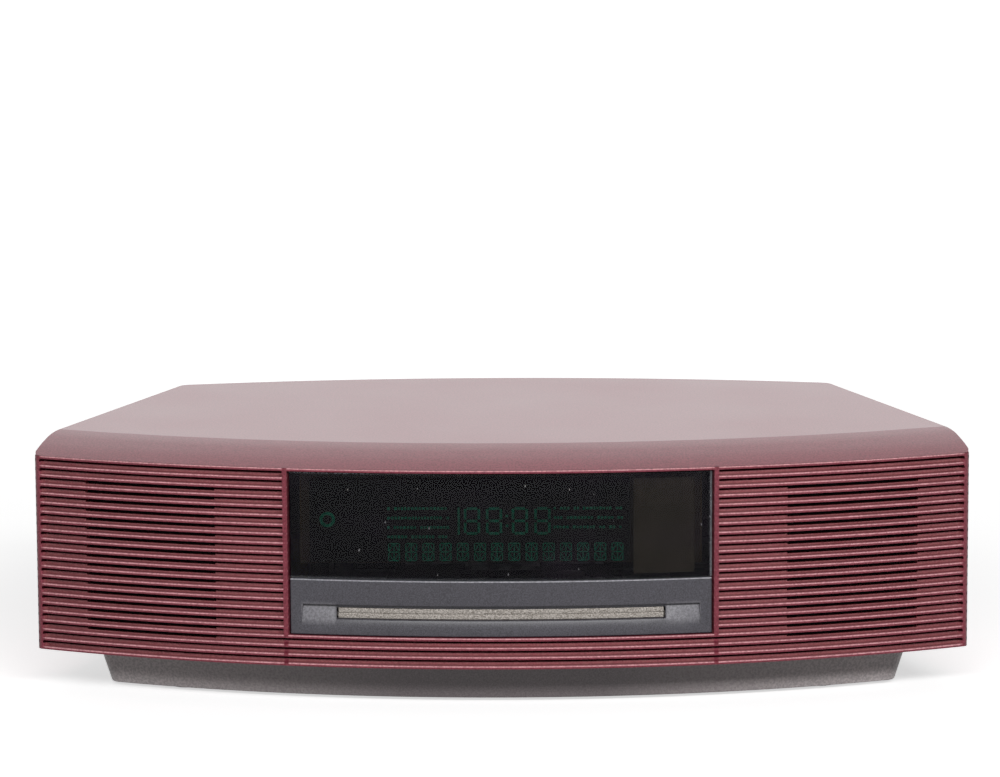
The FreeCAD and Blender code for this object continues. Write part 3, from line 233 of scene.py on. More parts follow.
def noise_of(tree, place, size, detail):
    """Noise with blobs of about the given size."""
    texture = tree.nodes.new("ShaderNodeTexNoise")
    texture.inputs["Scale"].default_value = 1 / size
    texture.inputs["Detail"].default_value = detail
    tree.links.new(place, texture.inputs["Vector"])
    return texture.outputs["Fac"]


def cells_of(tree, place, size):
    """Distance to the nearest of scattered points, and that point's own random values."""
    texture = tree.nodes.new("ShaderNodeTexVoronoi")
    texture.inputs["Scale"].default_value = 1 / size
    tree.links.new(place, texture.inputs["Vector"])
    split = tree.nodes.new("ShaderNodeSeparateColor")
    tree.links.new(texture.outputs["Color"], split.inputs["Color"])
    return texture.outputs["Distance"], split.outputs


def bands_of(tree, place, direction, width):
    """Smooth bands across one axis."""
    wave = tree.nodes.new("ShaderNodeTexWave")
    wave.bands_direction = direction
    wave.inputs["Scale"].default_value = 1 / width / BANDS_PER_UNIT
    tree.links.new(place, wave.inputs["Vector"])
    return wave.outputs["Fac"]


def ranged(tree, value, start, end, low=0.0, high=1.0):
    """Map a value from one range to another."""
    node = tree.nodes.new("ShaderNodeMapRange")
    for key, number in (("From Min", start), ("From Max", end), ("To Min", low), ("To Max", high)):
        node.inputs[key].default_value = number
    tree.links.new(value, node.inputs["Value"])
    return node.outputs["Result"]


def worked(tree, operation, first, second=0):
    """Arithmetic on two values, of which the second may be a number."""
    node = tree.nodes.new("ShaderNodeMath")
    node.operation = operation
    tree.links.new(first, node.inputs[0])
    if isinstance(second, (int, float)):
        node.inputs[1].default_value = second
    else:
        tree.links.new(second, node.inputs[1])
    return node.outputs[0]


def mixed(tree, factor, first, second):
    """Mix two colours, each a fixed colour or a socket."""
    node = tree.nodes.new("ShaderNodeMix")
    node.data_type = "RGBA"
    tree.links.new(factor, node.inputs["Factor"])
    for key, value in (("A", first), ("B", second)):
        socket = next(s for s in node.inputs if s.name == key and s.type == "RGBA")
        if isinstance(value, tuple):
            socket.default_value = value
        else:
            tree.links.new(value, socket)
    return next(s for s in node.outputs if s.type == "RGBA")


def relief(tree, shader, height, depth):
    """Bump of the given depth."""
    bump = tree.nodes.new("ShaderNodeBump")
    bump.inputs["Distance"].default_value = depth
    tree.links.new(height, bump.inputs["Height"])
    tree.links.new(bump.outputs["Normal"], shader.inputs["Normal"])


def band_of(tree, value, low, high, softness):
    """One where a value lies between two others."""
    rising = ranged(tree, value, low - softness, low + softness)
    falling = ranged(tree, value, high - softness, high + softness, 1.0, 0.0)
    return worked(tree, "MINIMUM", rising, falling)


# Plain grained finishes

class Grain(NamedTuple):
    """A grained finish: tones as seen on screen, gloss, and sizes in millimetres."""

    dark: tuple
    pale: tuple
    roughness: float
    size: float                 # of the fine grain
    depth: float                # of its relief
    metallic: float = 0.0
    specular: float = 0.5
    patch: float = 18.0         # size of the slow patches of tone
    scale: tuple = (1, 1, 1)    # the grain is drawn out along the axis with the smallest number
    blotch: float = 0.35        # how much the patches count beside the grain


GRAIN_DETAIL = 3.0
PATCH_DETAIL = 2.0
TONE_RANGE = (0.36, 0.64)       # of the noise, spread from the dark tone to the pale one
GLOSS_RANGE = (0.3, 0.7)
GLOSS_SWING = 0.12

GRAINED = {
    # Painted shade: near-black burgundy for the faces under each rib, where the grooves lie in shadow
    "painted_shade_burgundy": Grain((26, 2, 5), (42, 6, 10), 0.8, 0.7, 0.006, specular=0.05),
    "shell_burgundy": Grain((112, 40, 53), (146, 64, 78), 0.32, 0.7, 0.006, specular=0.7, patch=60.0,
                            blotch=0.1),
    "bezel_grey": Grain((44, 42, 49), (78, 76, 84), 0.34, 0.45, 0.006, patch=60.0, blotch=0.1),
    "plinth_grey": Grain((98, 90, 92), (122, 114, 115), 0.42, 0.6, 0.01, specular=0.6, patch=60.0,
                         blotch=0.15),
    "rubber_black": Grain((22, 22, 23), (38, 38, 39), 0.85, 0.5, 0.03, specular=0.3),
    "pan_black": Grain((28, 28, 30), (46, 46, 48), 0.6, 0.5, 0.03),
    "panel_black": Grain((26, 25, 27), (44, 43, 46), 0.55, 0.45, 0.03),
    "screw_steel": Grain((120, 120, 124), (168, 168, 172), 0.32, 0.6, 0.006, metallic=1.0),
    "display_glass": Grain((6, 12, 12), (12, 24, 22), 0.1, 1.2, 0.001, specular=0.3),
    "part_black": Grain((20, 20, 24), (38, 38, 42), 0.4, 0.6, 0.01),
    "can_steel": Grain((160, 160, 158), (198, 198, 196), 0.3, 1.5, 0.004, metallic=1.0),
    "sink_aluminium": Grain((150, 152, 156), (196, 198, 202), 0.38, 0.5, 0.01, metallic=1.0,
                            scale=(1, 1, 0.05)),
    "socket_black": Grain((12, 12, 13), (26, 26, 27), 0.28, 0.8, 0.005),
    "coil_tape": Grain((186, 148, 40), (226, 190, 70), 0.35, 2.5, 0.06, scale=(1, 1, 0.25)),
    "strap_steel": Grain((146, 144, 138), (186, 184, 178), 0.36, 0.8, 0.01, metallic=1.0),
    "duct_grey": Grain((58, 58, 60), (78, 78, 80), 0.6, 0.6, 0.03),
    "basket_steel": Grain((30, 30, 32), (52, 52, 54), 0.45, 0.7, 0.015, metallic=0.4),
    "magnet_ferrite": Grain((38, 36, 36), (62, 60, 58), 0.65, 0.4, 0.02),
    "cone_paper": Grain((24, 24, 26), (48, 47, 48), 0.9, 0.7, 0.08, specular=0.2),
    "foam_black": Grain((12, 12, 13), (30, 30, 31), 0.95, 0.5, 0.12, specular=0.1),
    "gear_white": Grain((206, 204, 196), (232, 230, 222), 0.4, 1.0, 0.006),
    "motor_steel": Grain((140, 140, 142), (184, 184, 186), 0.3, 0.5, 0.006, metallic=1.0, scale=(0.1, 1, 1)),
    "deck_black": Grain((30, 30, 31), (48, 48, 50), 0.55, 0.6, 0.02),
    "rod_steel": Grain((176, 176, 180), (214, 214, 218), 0.16, 0.8, 0.002, metallic=1.0),
    "guide_white": Grain((196, 194, 186), (222, 220, 212), 0.45, 0.9, 0.01),
}
RIB_GRAIN = GRAINED["shell_burgundy"]._replace(specular=0.3)
MARK_GRAIN = Grain((16, 150, 112), (30, 205, 160), 0.6, 1.0, 0.001, specular=0.2)
SHIELD_GRAIN = Grain((118, 106, 90), (142, 130, 112), 0.8, 1.5, 0.001, specular=0.2)


def grained(name, grain):
    """Finish with fine grain, slow patches of tone and uneven gloss."""
    material, tree, shader, place = new_finish(name, grain.roughness, grain.metallic, grain.specular)
    fine = noise_of(tree, stretched(tree, place, grain.scale), grain.size * MM, GRAIN_DETAIL)
    slow = noise_of(tree, place, grain.patch * MM, PATCH_DETAIL)
    tone = worked(tree, "ADD", worked(tree, "MULTIPLY", fine, 1 - grain.blotch),
                  worked(tree, "MULTIPLY", slow, grain.blotch))
    shade = mixed(tree, ranged(tree, tone, *TONE_RANGE), colour(*grain.dark), colour(*grain.pale))
    tree.links.new(shade, shader.inputs["Base Color"])
    swing = GLOSS_SWING * grain.blotch
    gloss = ranged(tree, slow, *GLOSS_RANGE, grain.roughness - swing, grain.roughness + swing)
    tree.links.new(gloss, shader.inputs["Roughness"])
    relief(tree, shader, fine, grain.depth * MM)
    return material


# Dust, painted highlights and painted reflections laid over a finish

# Speckle that breaks up every veil: the dust and the painted highlights and reflections alike
SPECKLE_SIZE = 0.9 * MM
SPECKLE_DETAIL = 4.0
SPECKLE_RANGE = (0.40, 0.60)
SPECKLE_LEAST = 0.55            # what the thinnest dust still covers

# Stripes along the ribs: lowest and highest share of the pitch above the middle of a rib,
# and the depths behind the face at which they are nothing and full
FLOOR_DUST = (0.19, 0.50, 0.4 * MM, 0.9 * MM)
# Painted highlight: a pale band along the upper rounded edge of each rib
PAINTED_HIGHLIGHT_EDGES = (0.03, 0.17, 0.9 * MM, 0.5 * MM)
STRIPE_FADE = 0.03              # share of the pitch over which a stripe fades
STRIPE_ENDS = (1.6 * MM, 0.2 * MM)          # before a groove's end, where stripes start to fade and are gone
BAR_FADE = 0.2 * MM

# Where the painted highlight on the sunken panels at the slot's ends lies
SCOOP_START = 1.0 * MM          # past the slot's end, where a sunken panel has its full tone
SCOOP_EDGES = (0.3 * MM, 0.1 * MM)          # before and past the panel's outer end, where its tone fades
SCOOP_REACH = 3.6 * MM          # from the slot's middle to the panel's upper and lower edge
SCOOP_FADE = 1.2 * MM
# Painted reflection: the base's colour grows paler toward its ends
PLINTH_REFLECTION_SPREAD = (40 * MM, 150 * MM)          # from the middle, where the base starts to be paler and is palest
EDGE_FADE = 0.1 * MM


def veiled(material, mask_of, veil, share):
    """Lay dust, a painted highlight or a painted reflection over a finish where the mask says."""
    tree = material.node_tree
    shader = tree.nodes["Principled BSDF"]
    place = tree.nodes.new("ShaderNodeTexCoord").outputs["Object"]
    base = shader.inputs["Base Color"].links[0].from_socket
    specks = noise_of(tree, place, SPECKLE_SIZE, SPECKLE_DETAIL)
    speckle = ranged(tree, specks, *SPECKLE_RANGE, SPECKLE_LEAST, 1.0)
    mask = worked(tree, "MULTIPLY", mask_of(tree, place), speckle)
    covered = mixed(tree, worked(tree, "MULTIPLY", mask, share), base, colour(*veil))
    tree.links.new(covered, shader.inputs["Base Color"])


def growing(tree, value, none_at, full_at):
    """Zero at one value and one at another, whichever of the two is larger."""
    return ranged(tree, value, min(none_at, full_at), max(none_at, full_at),
                  float(none_at > full_at), float(none_at < full_at))


def rib_part(low, high, bare, covered):
    """Mask for a part of each rib or groove.

    The first two values are shares of the pitch above the middle of a rib. The others are depths behind
    the face: the mask is nothing at the first and full at the second.
    """
    def mask_of(tree, place):
        length = tree.nodes.new("ShaderNodeVectorMath")
        length.operation = "DISTANCE"
        tree.links.new(stretched(tree, place, (1, 1, 0)), length.inputs[0])
        length.inputs[1].default_value = (0, FRONT_CENTRE, 0)
        depth = growing(tree, length.outputs["Value"], FRONT_RADIUS - bare, FRONT_RADIUS - covered)
        x, _, z = axes_of(tree, place)
        turns = ranged(tree, z, TOP_RIB - RIB_COUNT * RIB_PITCH, TOP_RIB + RIB_PITCH, 0.0, RIB_COUNT + 1)
        phase = worked(tree, "FRACT", turns)
        across = worked(tree, "ABSOLUTE", x)
        fading, gone = (CASE_HALF - GROOVE_END - end for end in STRIPE_ENDS)
        before_end = growing(tree, across, gone, fading)
        on_bar = band_of(tree, across, OPENING_HALF, OPENING_HALF + OPENING_BAR, BAR_FADE)
        grooved = worked(tree, "SUBTRACT", before_end, on_bar)
        ribs = worked(tree, "MULTIPLY", band_of(tree, phase, low, high, STRIPE_FADE), grooved)
        return worked(tree, "MULTIPLY", depth, ribs)
    return mask_of


def edge_line(low, high, fades=None):
    """Mask for a stretch of heights, which may grow along X from nothing at one place to full at another."""
    def mask_of(tree, place):
        x, _, z = axes_of(tree, place)
        here = band_of(tree, z, low, high, EDGE_FADE)
        if fades:
            here = worked(tree, "MULTIPLY", here, growing(tree, x, *fades))
        return here
    return mask_of


def scoop_highlight(tree, place):
    """One on the two sunken panels at the ends of the disc slot, where a highlight is painted."""
    x, _, z = axes_of(tree, place)
    across = worked(tree, "ABSOLUTE", x)
    beyond = ranged(tree, across, SLOT_HALF, SLOT_HALF + SCOOP_START)
    before = ranged(tree, across, SCOOP_HALF - SCOOP_EDGES[0], SCOOP_HALF + SCOOP_EDGES[1], 1.0, 0.0)
    heights = band_of(tree, z, SLOT_MIDDLE - SCOOP_REACH, SLOT_MIDDLE + SCOOP_REACH, SCOOP_FADE)
    return worked(tree, "MULTIPLY", worked(tree, "MULTIPLY", beyond, before), heights)


def reflection_toward_ends(tree, place):
    """Grows from the middle of the front to its two ends, where the base's reflection is painted paler."""
    x, _, _ = axes_of(tree, place)
    return ranged(tree, worked(tree, "ABSOLUTE", x), *PLINTH_REFLECTION_SPREAD)


def dust_and_highlight_burgundy():
    """Shell's finish, with dust on the floors of the grooves and a painted highlight along the upper edges of
    the ribs.
    """
    material = grained("dust_and_highlight_burgundy", RIB_GRAIN)
    veiled(material, rib_part(*FLOOR_DUST), (176, 122, 118), share=0.42)
    # painted highlight on the upper edge of each rib
    veiled(material, rib_part(*PAINTED_HIGHLIGHT_EDGES), (255, 190, 196), share=0.9)
    return material


# Finishes with a pattern of their own

LENS_HIDES = 0.5                # share of what is behind the lens that each of its faces hides
LENS_CLEAR = (4, 3, 8)
LENS_HAZY = (24, 18, 28)
LENS_DUST = (150, 148, 152)
DUST_SPACING = 3.4 * MM
DUST_BARE = 0.4                 # share of the places for a speck of dust that have none
DUST_LARGEST = 0.085            # radius of the largest speck, as a share of their spacing
HAZE_SIZE = 14 * MM
FIBRE_SIZE = 0.6 * MM
FIBRE_DEPTH = 0.15 * MM
BANDS_PER_UNIT = 3              # bands in a wave texture at a scale of 1
LAMINATION = 0.5 * MM
LAMINATION_DEPTH = 0.05 * MM
SPANGLE_SIZE = 4 * MM
TRACK_SCALE = 90.0
TRACK_WIDTH = 0.03
TRACK_GRAIN = 1.2 * MM
THREAD = 0.6 * MM
THREAD_DEPTH = 0.1 * MM


def lens_finish(name):
    """Smoked glossy plastic that shows a little of what is behind, with specks of dust."""
    material, tree, shader, place = new_finish(name, roughness=0.06, specular=0.12)
    near, chances = cells_of(tree, stretched(tree, place, (1, 0, 1)), DUST_SPACING)
    speck = worked(tree, "LESS_THAN", near, ranged(tree, chances[0], DUST_BARE, 1.0, 0.0, DUST_LARGEST))
    haze = ranged(tree, noise_of(tree, stretched(tree, place, (0.5, 1, 1)), HAZE_SIZE, 3.0), 0.45, 0.75)
    clear = mixed(tree, haze, colour(*LENS_CLEAR), colour(*LENS_HAZY))
    tree.links.new(mixed(tree, speck, clear, colour(*LENS_DUST)), shader.inputs["Base Color"])
    tree.links.new(ranged(tree, haze, 0.0, 1.0, 0.03, 0.12), shader.inputs["Roughness"])
    tree.links.new(worked(tree, "MAXIMUM", speck, LENS_HIDES), shader.inputs["Alpha"])
    return material


def felt_finish(name, dark, pale):
    """Pressed wool fibres."""
    material, tree, shader, place = new_finish(name, roughness=0.95, specular=0.1)
    fibre = noise_of(tree, stretched(tree, place, (1, 1, 2)), FIBRE_SIZE, 5.0)
    shade = mixed(tree, ranged(tree, fibre, 0.38, 0.62), dark, pale)
    tree.links.new(shade, shader.inputs["Base Color"])
    relief(tree, shader, fibre, FIBRE_DEPTH)
    return material


def layered(name, dark, pale):
    """Steel laminations stacked on edge."""
    material, tree, shader, place = new_finish(name, roughness=0.5, metallic=0.6)
    layers = bands_of(tree, place, "Y", LAMINATION)
    tree.links.new(mixed(tree, layers, dark, pale), shader.inputs["Base Color"])
    relief(tree, shader, layers, LAMINATION_DEPTH)
    return material


def spangled(name, dark, pale):
    """Zinc coat with flat crystals."""
    material, tree, shader, place = new_finish(name, roughness=0.42, metallic=0.9)
    _, chances = cells_of(tree, place, SPANGLE_SIZE)
    tree.links.new(mixed(tree, chances[0], dark, pale), shader.inputs["Base Color"])
    tree.links.new(ranged(tree, chances[1], 0, 1, 0.32, 0.5), shader.inputs["Roughness"])
    return material


def tracked(name, resist, copper):
    """Circuit board with faint tracks under its resist."""
    material, tree, shader, place = new_finish(name, roughness=0.35)
    tracks = tree.nodes.new("ShaderNodeTexBrick")
    tracks.inputs["Scale"].default_value = TRACK_SCALE
    tracks.inputs["Mortar Size"].default_value = TRACK_WIDTH
    tracks.inputs["Color1"].default_value = resist
    tracks.inputs["Color2"].default_value = resist
    tracks.inputs["Mortar"].default_value = copper
    tree.links.new(place, tracks.inputs["Vector"])
    grain = ranged(tree, noise_of(tree, place, TRACK_GRAIN, 3.0), 0.4, 0.7, 0.0, 0.35)
    tree.links.new(mixed(tree, grain, tracks.outputs["Color"], copper), shader.inputs["Base Color"])
    return material


def woven(name, dark, pale):
    """Coarse cloth."""
    material, tree, shader, place = new_finish(name, roughness=0.85, specular=0.2)
    weave = worked(tree, "MULTIPLY", bands_of(tree, place, "X", THREAD), bands_of(tree, place, "Z", THREAD))
    tree.links.new(mixed(tree, weave, dark, pale), shader.inputs["Base Color"])
    relief(tree, shader, weave, THREAD_DEPTH)
    return material


# One finish for each material slot, on every node as it comes from the solids

bezel_high = settled(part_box("slot_bezel")[1].z)
# Heights of the painted highlight along the bezel's top edge
BEZEL_EDGE_HIGHLIGHT = (bezel_high - 0.45 * MM, bezel_high + 1 * MM)
window_low, window_high = (settled(corner.z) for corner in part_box("display_window"))

# Painted highlights along the lens' edges: lowest and highest height, where along X they are nothing and
# full, tone
LENS_EDGE_HIGHLIGHTS = (
    (window_high - 0.6 * MM, window_high - 0.2 * MM, (-10 * MM, -60 * MM), (210, 212, 220)),
    (window_low - 1 * MM, window_low + 0.45 * MM, (90 * MM, -90 * MM), (150, 152, 160)),
    (window_low, window_high, (80.6 * MM, 81.0 * MM), (170, 172, 178)),
)

finishes = {slot: grained(slot, grain) for slot, grain in GRAINED.items()}
# Painted reflection: the base paler toward its ends
veiled(finishes["plinth_grey"], reflection_toward_ends, (232, 222, 222), share=0.75)
# Painted highlight on the sunken panels at the slot's ends
veiled(finishes["bezel_grey"], scoop_highlight, (186, 184, 190), share=0.42)
# Painted highlight along the bezel's top edge
veiled(finishes["bezel_grey"], edge_line(*BEZEL_EDGE_HIGHLIGHT), (214, 214, 222), share=0.6)
finishes["lens_black"] = lens_finish("lens_black")
# Painted highlights along the lens' edges
for low, high, fades, tone in LENS_EDGE_HIGHLIGHTS:
    veiled(finishes["lens_black"], edge_line(low, high, fades), tone, share=0.7)
for make, slot, dark, pale in (
        (felt_finish, "felt_beige", (136, 128, 120), (218, 211, 204)),
        (layered, "core_steel", (70, 68, 66), (128, 126, 122)),
        (spangled, "frame_zinc", (150, 152, 154), (196, 198, 200)),
        (tracked, "board_green", (74, 58, 40), (104, 84, 56)),
        (woven, "spider_cloth", (120, 88, 40), (176, 138, 74))):
    finishes[slot] = make(slot, colour(*dark), colour(*pale))

node_slots = {part["node"]: part["material_slot"] for part in frame["record"]["subparts"]}
for node_name, node_object in frame["nodes"].items():
    node_object.data.materials.clear()
    node_object.data.materials.append(finishes[node_slots[node_name]])


# Making pieces

def placed(name, data):
    """Object in the scene for a mesh, a lamp or a camera."""
    holder = bpy.data.objects.new(name, data)
    bpy.context.scene.collection.objects.link(holder)
    return holder


def finished(name, bm, body, slot, stands_for=(), finish=None):
    """Turn a bmesh into a piece that rides on a body."""
    mesh = bpy.data.meshes.new(name)
    bm.to_mesh(mesh)
    bm.free()
    mesh.shade_smooth()
    mesh.set_sharp_from_angle(angle=SHARP)
    mesh.materials.append(finish or finishes[slot])
    piece = placed(name, mesh)
    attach(piece, body)
    if stands_for:
        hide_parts(*stands_for)
    return piece


def evenly_shaded(piece):
    """Keep broad faces flat and let only their rounded edges turn the light."""
    modifier = piece.modifiers.new("even_shading", "WEIGHTED_NORMAL")
    modifier.keep_sharp = True


def merged_copy(node_name):
    """The node's own mesh as a bmesh, merged and with its flat faces whole."""
    bm = bmesh.new()
    bm.from_mesh(frame["nodes"][node_name].data)
    bmesh.ops.remove_doubles(bm, verts=bm.verts, dist=NODE_MERGE)
    bmesh.ops.dissolve_limit(bm, angle_limit=FLAT, verts=bm.verts, edges=bm.edges)
    return bm


def sharp_edges(bm, angle=SHARP):
    """Edges where the surface turns by more than an angle."""
    return [edge for edge in bm.edges if len(edge.link_faces) == 2 and edge.calc_face_angle() > angle]


def soften(bm, edges, width, facets):
    """Round edges off."""
    bmesh.ops.bevel(bm, geom=edges, offset=width, offset_type="OFFSET", segments=facets, profile=0.5,
                    affect="EDGES", clamp_overlap=True, material=-1)


def close_rims(bm):
    """Fill the open ends of a piece and turn its faces outwards."""
    rims = [edge for edge in bm.edges if edge.is_boundary]
    bmesh.ops.holes_fill(bm, edges=rims, sides=0)
    bmesh.ops.recalc_face_normals(bm, faces=bm.faces)


def settle(bm, lowest=CASE_BOTTOM):
    """Bring the heights of a piece down to the photograph's, above the lowest height given."""
    for vert in bm.verts:
        if vert.co.z > lowest:
            vert.co.z = settled(vert.co.z)


def off_centre(place):
    """Distance of a place from the axis that the front is bowed about."""
    return math.hypot(place.x, place.y - FRONT_CENTRE)


def spin_stretch(bm, outline, start, end, column=COLUMN):
    """Turn an outline round the front's centre, from one distance off the middle to another."""
    first, last = (math.asin(x / FRONT_RADIUS) for x in (start, end))
    corners = [
        bm.verts.new((r * math.sin(first), FRONT_CENTRE - r * math.cos(first), z)) for r, z in outline]
    edges = [bm.edges.new(pair) for pair in zip(corners, corners[1:] + corners[:1])]
    steps = max(1, round((last - first) * FRONT_RADIUS / column))
    bmesh.ops.spin(bm, geom=corners + edges, cent=(0, FRONT_CENTRE, 0), axis=UP, angle=last - first,
                   steps=steps)


def bowed_strip(face, back, low, high, start, end):
    """Strip that follows the front's bow, between two radii, two heights and two distances off the middle."""
    bm = bmesh.new()
    spin_stretch(bm, [(face, low), (face, high), (back, high), (back, low)], start, end)
    close_rims(bm)
    return bm


# Case

def dressed(node_name, width, facets, settling):
    """Copy of a node with its edges rounded as a moulding's are, standing for the node."""
    bm = merged_copy(node_name)
    if settling:
        settle(bm)
    soften(bm, sharp_edges(bm), width, facets)
    evenly_shaded(finished(node_name + "_finished", bm, frame["nodes"][node_name]["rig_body"],
                           node_slots[node_name], [node_name]))


def on_crease(vert):
    """Whether a vertex lies where the flat top meets the brow."""
    return abs(vert.co.z - CASE_TOP) < SAME_PLACE and abs(off_centre(vert.co) - CREASE_RADIUS) < CREASE_MATCH


def dressed_cover():
    """Shell with a soft crease between its flat top and its brow, and a crisp lip."""
    bm = merged_copy("top_cover")
    creases = [edge for edge in sharp_edges(bm, FAINT) if all(on_crease(vert) for vert in edge.verts)]
    soften(bm, creases, CREASE_SOFTNESS, CREASE_FACETS)
    soften(bm, sharp_edges(bm), COVER_SOFTNESS, COVER_FACETS)
    settle(bm, COVER_SETTLES_FROM)
    evenly_shaded(finished("top_cover_finished", bm, "case", "shell_burgundy", ["top_cover"]))


def felt_pile(name, low, high):
    """Pile of one felt strip, which fills its half of the slot."""
    bm = bowed_strip(FELT_FACE, FELT_BACK, low, high, -SLOT_HALF, SLOT_HALF)
    soften(bm, sharp_edges(bm), FELT_SOFTNESS, FELT_FACETS)
    finished(name, bm, "case", "felt_beige")


# Ribbed front

def states(special, grooves):
    """State of each groove: a special one in some grooves, and a plain floor in the others.

    Besides having its floor, a groove can be filled up, be an open slot, or be gone with the ribs beside it.
    """
    return {groove: special if groove in grooves else "floor" for groove in GROOVES}


PLAIN = states("floor", GROOVES)
FILLED = states("filled", GROOVES)
SLOTTED = states("open", SOUND_GROOVES)
BARRED = states("filled", OPENING_GROOVES)
OPENED = states("gone", OPENING_GROOVES)


def rib_middle(number):
    """Height of a rib, counted from 0 at the top."""
    return TOP_RIB - number * RIB_PITCH


def floor_heights(groove):
    """Upper and lower edge of a groove's floor; groove 1 lies under rib 0."""
    return rib_middle(groove - 1) - RIB_ROOT / 2, rib_middle(groove) + RIB_ROOT / 2


def back_heights():
    """Heights at which the back of the front is divided, so that every stretch meets its neighbours."""
    heights = {LIP, CASE_BOTTOM, rib_middle(0) - RIB_TIP / 2, rib_middle(OPENING_GROOVES[-1]) + RIB_TIP / 2}
    for groove in GROOVES:
        heights.update(floor_heights(groove))
    for groove in SOUND_GROOVES:
        heights.add(floor_heights(groove)[1] + SOUND_SILL)
    return sorted(heights)


BACK_HEIGHTS = back_heights()


def stretch_outlines(groove_states):
    """Closed (radius, height) outlines of a stretch of the front, from the state of each of its grooves."""
    outlines = []
    front, top = [(FRONT_RADIUS, LIP)], LIP

    def close(bottom):
        backs = [(INNER_RADIUS, z) for z in BACK_HEIGHTS if bottom - HEIGHT_MATCH < z < top + HEIGHT_MATCH]
        outlines.append(front + backs)

    for groove in GROOVES:
        state = groove_states[groove]
        nose_low = rib_middle(groove - 1) - RIB_TIP / 2
        nose_high = rib_middle(groove) + RIB_TIP / 2
        floor_high, floor_low = floor_heights(groove)
        if state == "gone":
            if groove == GROOVES[0]:
                front.append((FRONT_RADIUS, nose_low))
                close(nose_low)
            front, top = [(FRONT_RADIUS, nose_high)], nose_high
            continue
        front.append((FRONT_RADIUS, nose_low))
        if state == "open":
            front.append((WEB_RADIUS, floor_high))
            close(floor_high)
            top = floor_low + SOUND_SILL
            front = [(WEB_RADIUS, top), (WEB_RADIUS, floor_low)]
        else:
            floor_radius = WEB_RADIUS if state == "floor" else FRONT_RADIUS
            # the floor is split where its painted shade ends
            floor_middle = floor_high + PAINTED_SHADE_SHARE * (floor_low - floor_high)
            front += [(floor_radius, floor_high), (floor_radius, floor_middle), (floor_radius, floor_low)]
        front.append((FRONT_RADIUS, nose_high))
    front.append((FRONT_RADIUS, CASE_BOTTOM))
    close(CASE_BOTTOM)
    return outlines


def run_grooves_out(bm, start, end):
    """Bring the floors of the grooves up to the face between two distances off the middle."""
    for vert in bm.verts:
        radius = off_centre(vert.co)
        along = abs(vert.co.x) / radius * FRONT_RADIUS
        if start < along < end + SAME_PLACE and abs(radius - WEB_RADIUS) < SAME_PLACE:
            share = min(1.0, (along - start) / (end - start))
            grown = (WEB_RADIUS + RIB_DEPTH * share * share * (3 - 2 * share)) / radius
            vert.co.x *= grown
            vert.co.y = FRONT_CENTRE + (vert.co.y - FRONT_CENTRE) * grown


def spun_front():
    """The front's stretches, from its opening out past the corners."""
    groove_end = CASE_HALF - GROOVE_END
    run_out = groove_end - RUN_OUT
    bar_edge = OPENING_HALF + OPENING_BAR
    bm = bmesh.new()
    for outline in stretch_outlines(OPENED):
        spin_stretch(bm, outline, -OPENING_HALF, OPENING_HALF)
    for near, far, groove_states, column in (
            (OPENING_HALF, bar_edge, BARRED, COLUMN),
            (bar_edge, SOUND_INNER, PLAIN, COLUMN),
            (SOUND_INNER, SOUND_OUTER, SLOTTED, COLUMN),
            (SOUND_OUTER, run_out, PLAIN, COLUMN),
            (groove_end, CASE_HALF + PAST_CORNER, FILLED, COLUMN),
            (run_out, groove_end, PLAIN, RUN_OUT_COLUMN)):
        for outline in stretch_outlines(groove_states):
            spin_stretch(bm, outline, near, far, column)
            spin_stretch(bm, outline, -far, -near, column)
    run_grooves_out(bm, run_out, groove_end)
    return bm


def cut_ends(bm):
    """Cut both ends of the front along the sides of the case."""
    for side in (-1, 1):
        along = Vector((side * (REAR_HALF - CASE_HALF), SIDE_DEPTH, 0)).normalized()
        outward = Vector((side * along.y, -side * along.x, 0))
        bmesh.ops.bisect_plane(bm, geom=bm.verts[:] + bm.edges[:] + bm.faces[:], dist=CUT_MATCH,
                               plane_co=(side * CASE_HALF, CORNER_Y, 0), plane_no=outward, clear_outer=True)


def upright_corner(edge):
    """Whether an edge stands at one of the front corners."""
    ends = [vert.co for vert in edge.verts]
    at_corner = all(abs(abs(end.x) - CASE_HALF) < CORNER_MATCH for end in ends)
    return at_corner and abs(ends[0].z - ends[1].z) > CORNER_MATCH


def in_the_dark(face):
    """Whether a face lies in the upper part of a groove, under its rib, where shade is painted on."""
    middle = face.calc_center_median()
    phase = (middle.z - TOP_RIB) / RIB_PITCH % 1
    depth = FRONT_RADIUS - off_centre(middle)
    return (PAINTED_SHADE_DEPTHS[0] < depth < PAINTED_SHADE_DEPTHS[1] and PAINTED_SHADE_PHASES[0] < phase < PAINTED_SHADE_PHASES[1]
            and middle.z > CASE_BOTTOM + RIB_TIP)


def ribbed_front():
    """Bowed front with its ribs, its sound slots and the centre opening."""
    bm = spun_front()
    cut_ends(bm)
    bmesh.ops.remove_doubles(bm, verts=bm.verts, dist=FRONT_MERGE)
    close_rims(bm)
    corners = [edge for edge in sharp_edges(bm) if upright_corner(edge)]
    soften(bm, corners, CORNER_ROUND * math.tan(CORNER_TURN / 2), CORNER_FACETS)
    soften(bm, sharp_edges(bm), RIB_SOFTNESS, RIB_FACETS)
    # Faces under each rib get the second finish, near-black burgundy: painted shade
    for face in bm.faces:
        if in_the_dark(face):
            face.material_index = 1
    front = finished("ribbed_front", bm, "case", "shell_burgundy", ["front_grille"], finish=dust_and_highlight_burgundy())
    front.data.materials.append(finishes["painted_shade_burgundy"])


ribbed_front()
dressed_cover()
felt_pile("felt_pile_upper", SLOT_MIDDLE + FELT_PARTING, SLOT_MIDDLE + SLOT_REACH)
felt_pile("felt_pile_lower", SLOT_MIDDLE - SLOT_REACH, SLOT_MIDDLE - FELT_PARTING)
for node_name, width, facets, settling in ROUNDED_NODES:
    dressed(node_name, width, facets, settling)


# Display, as it shows through the window while it is off

tube_low, tube_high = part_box("display_tube")
MARK_Y = tube_low.y
MARK_THICK = 0.08 * MM

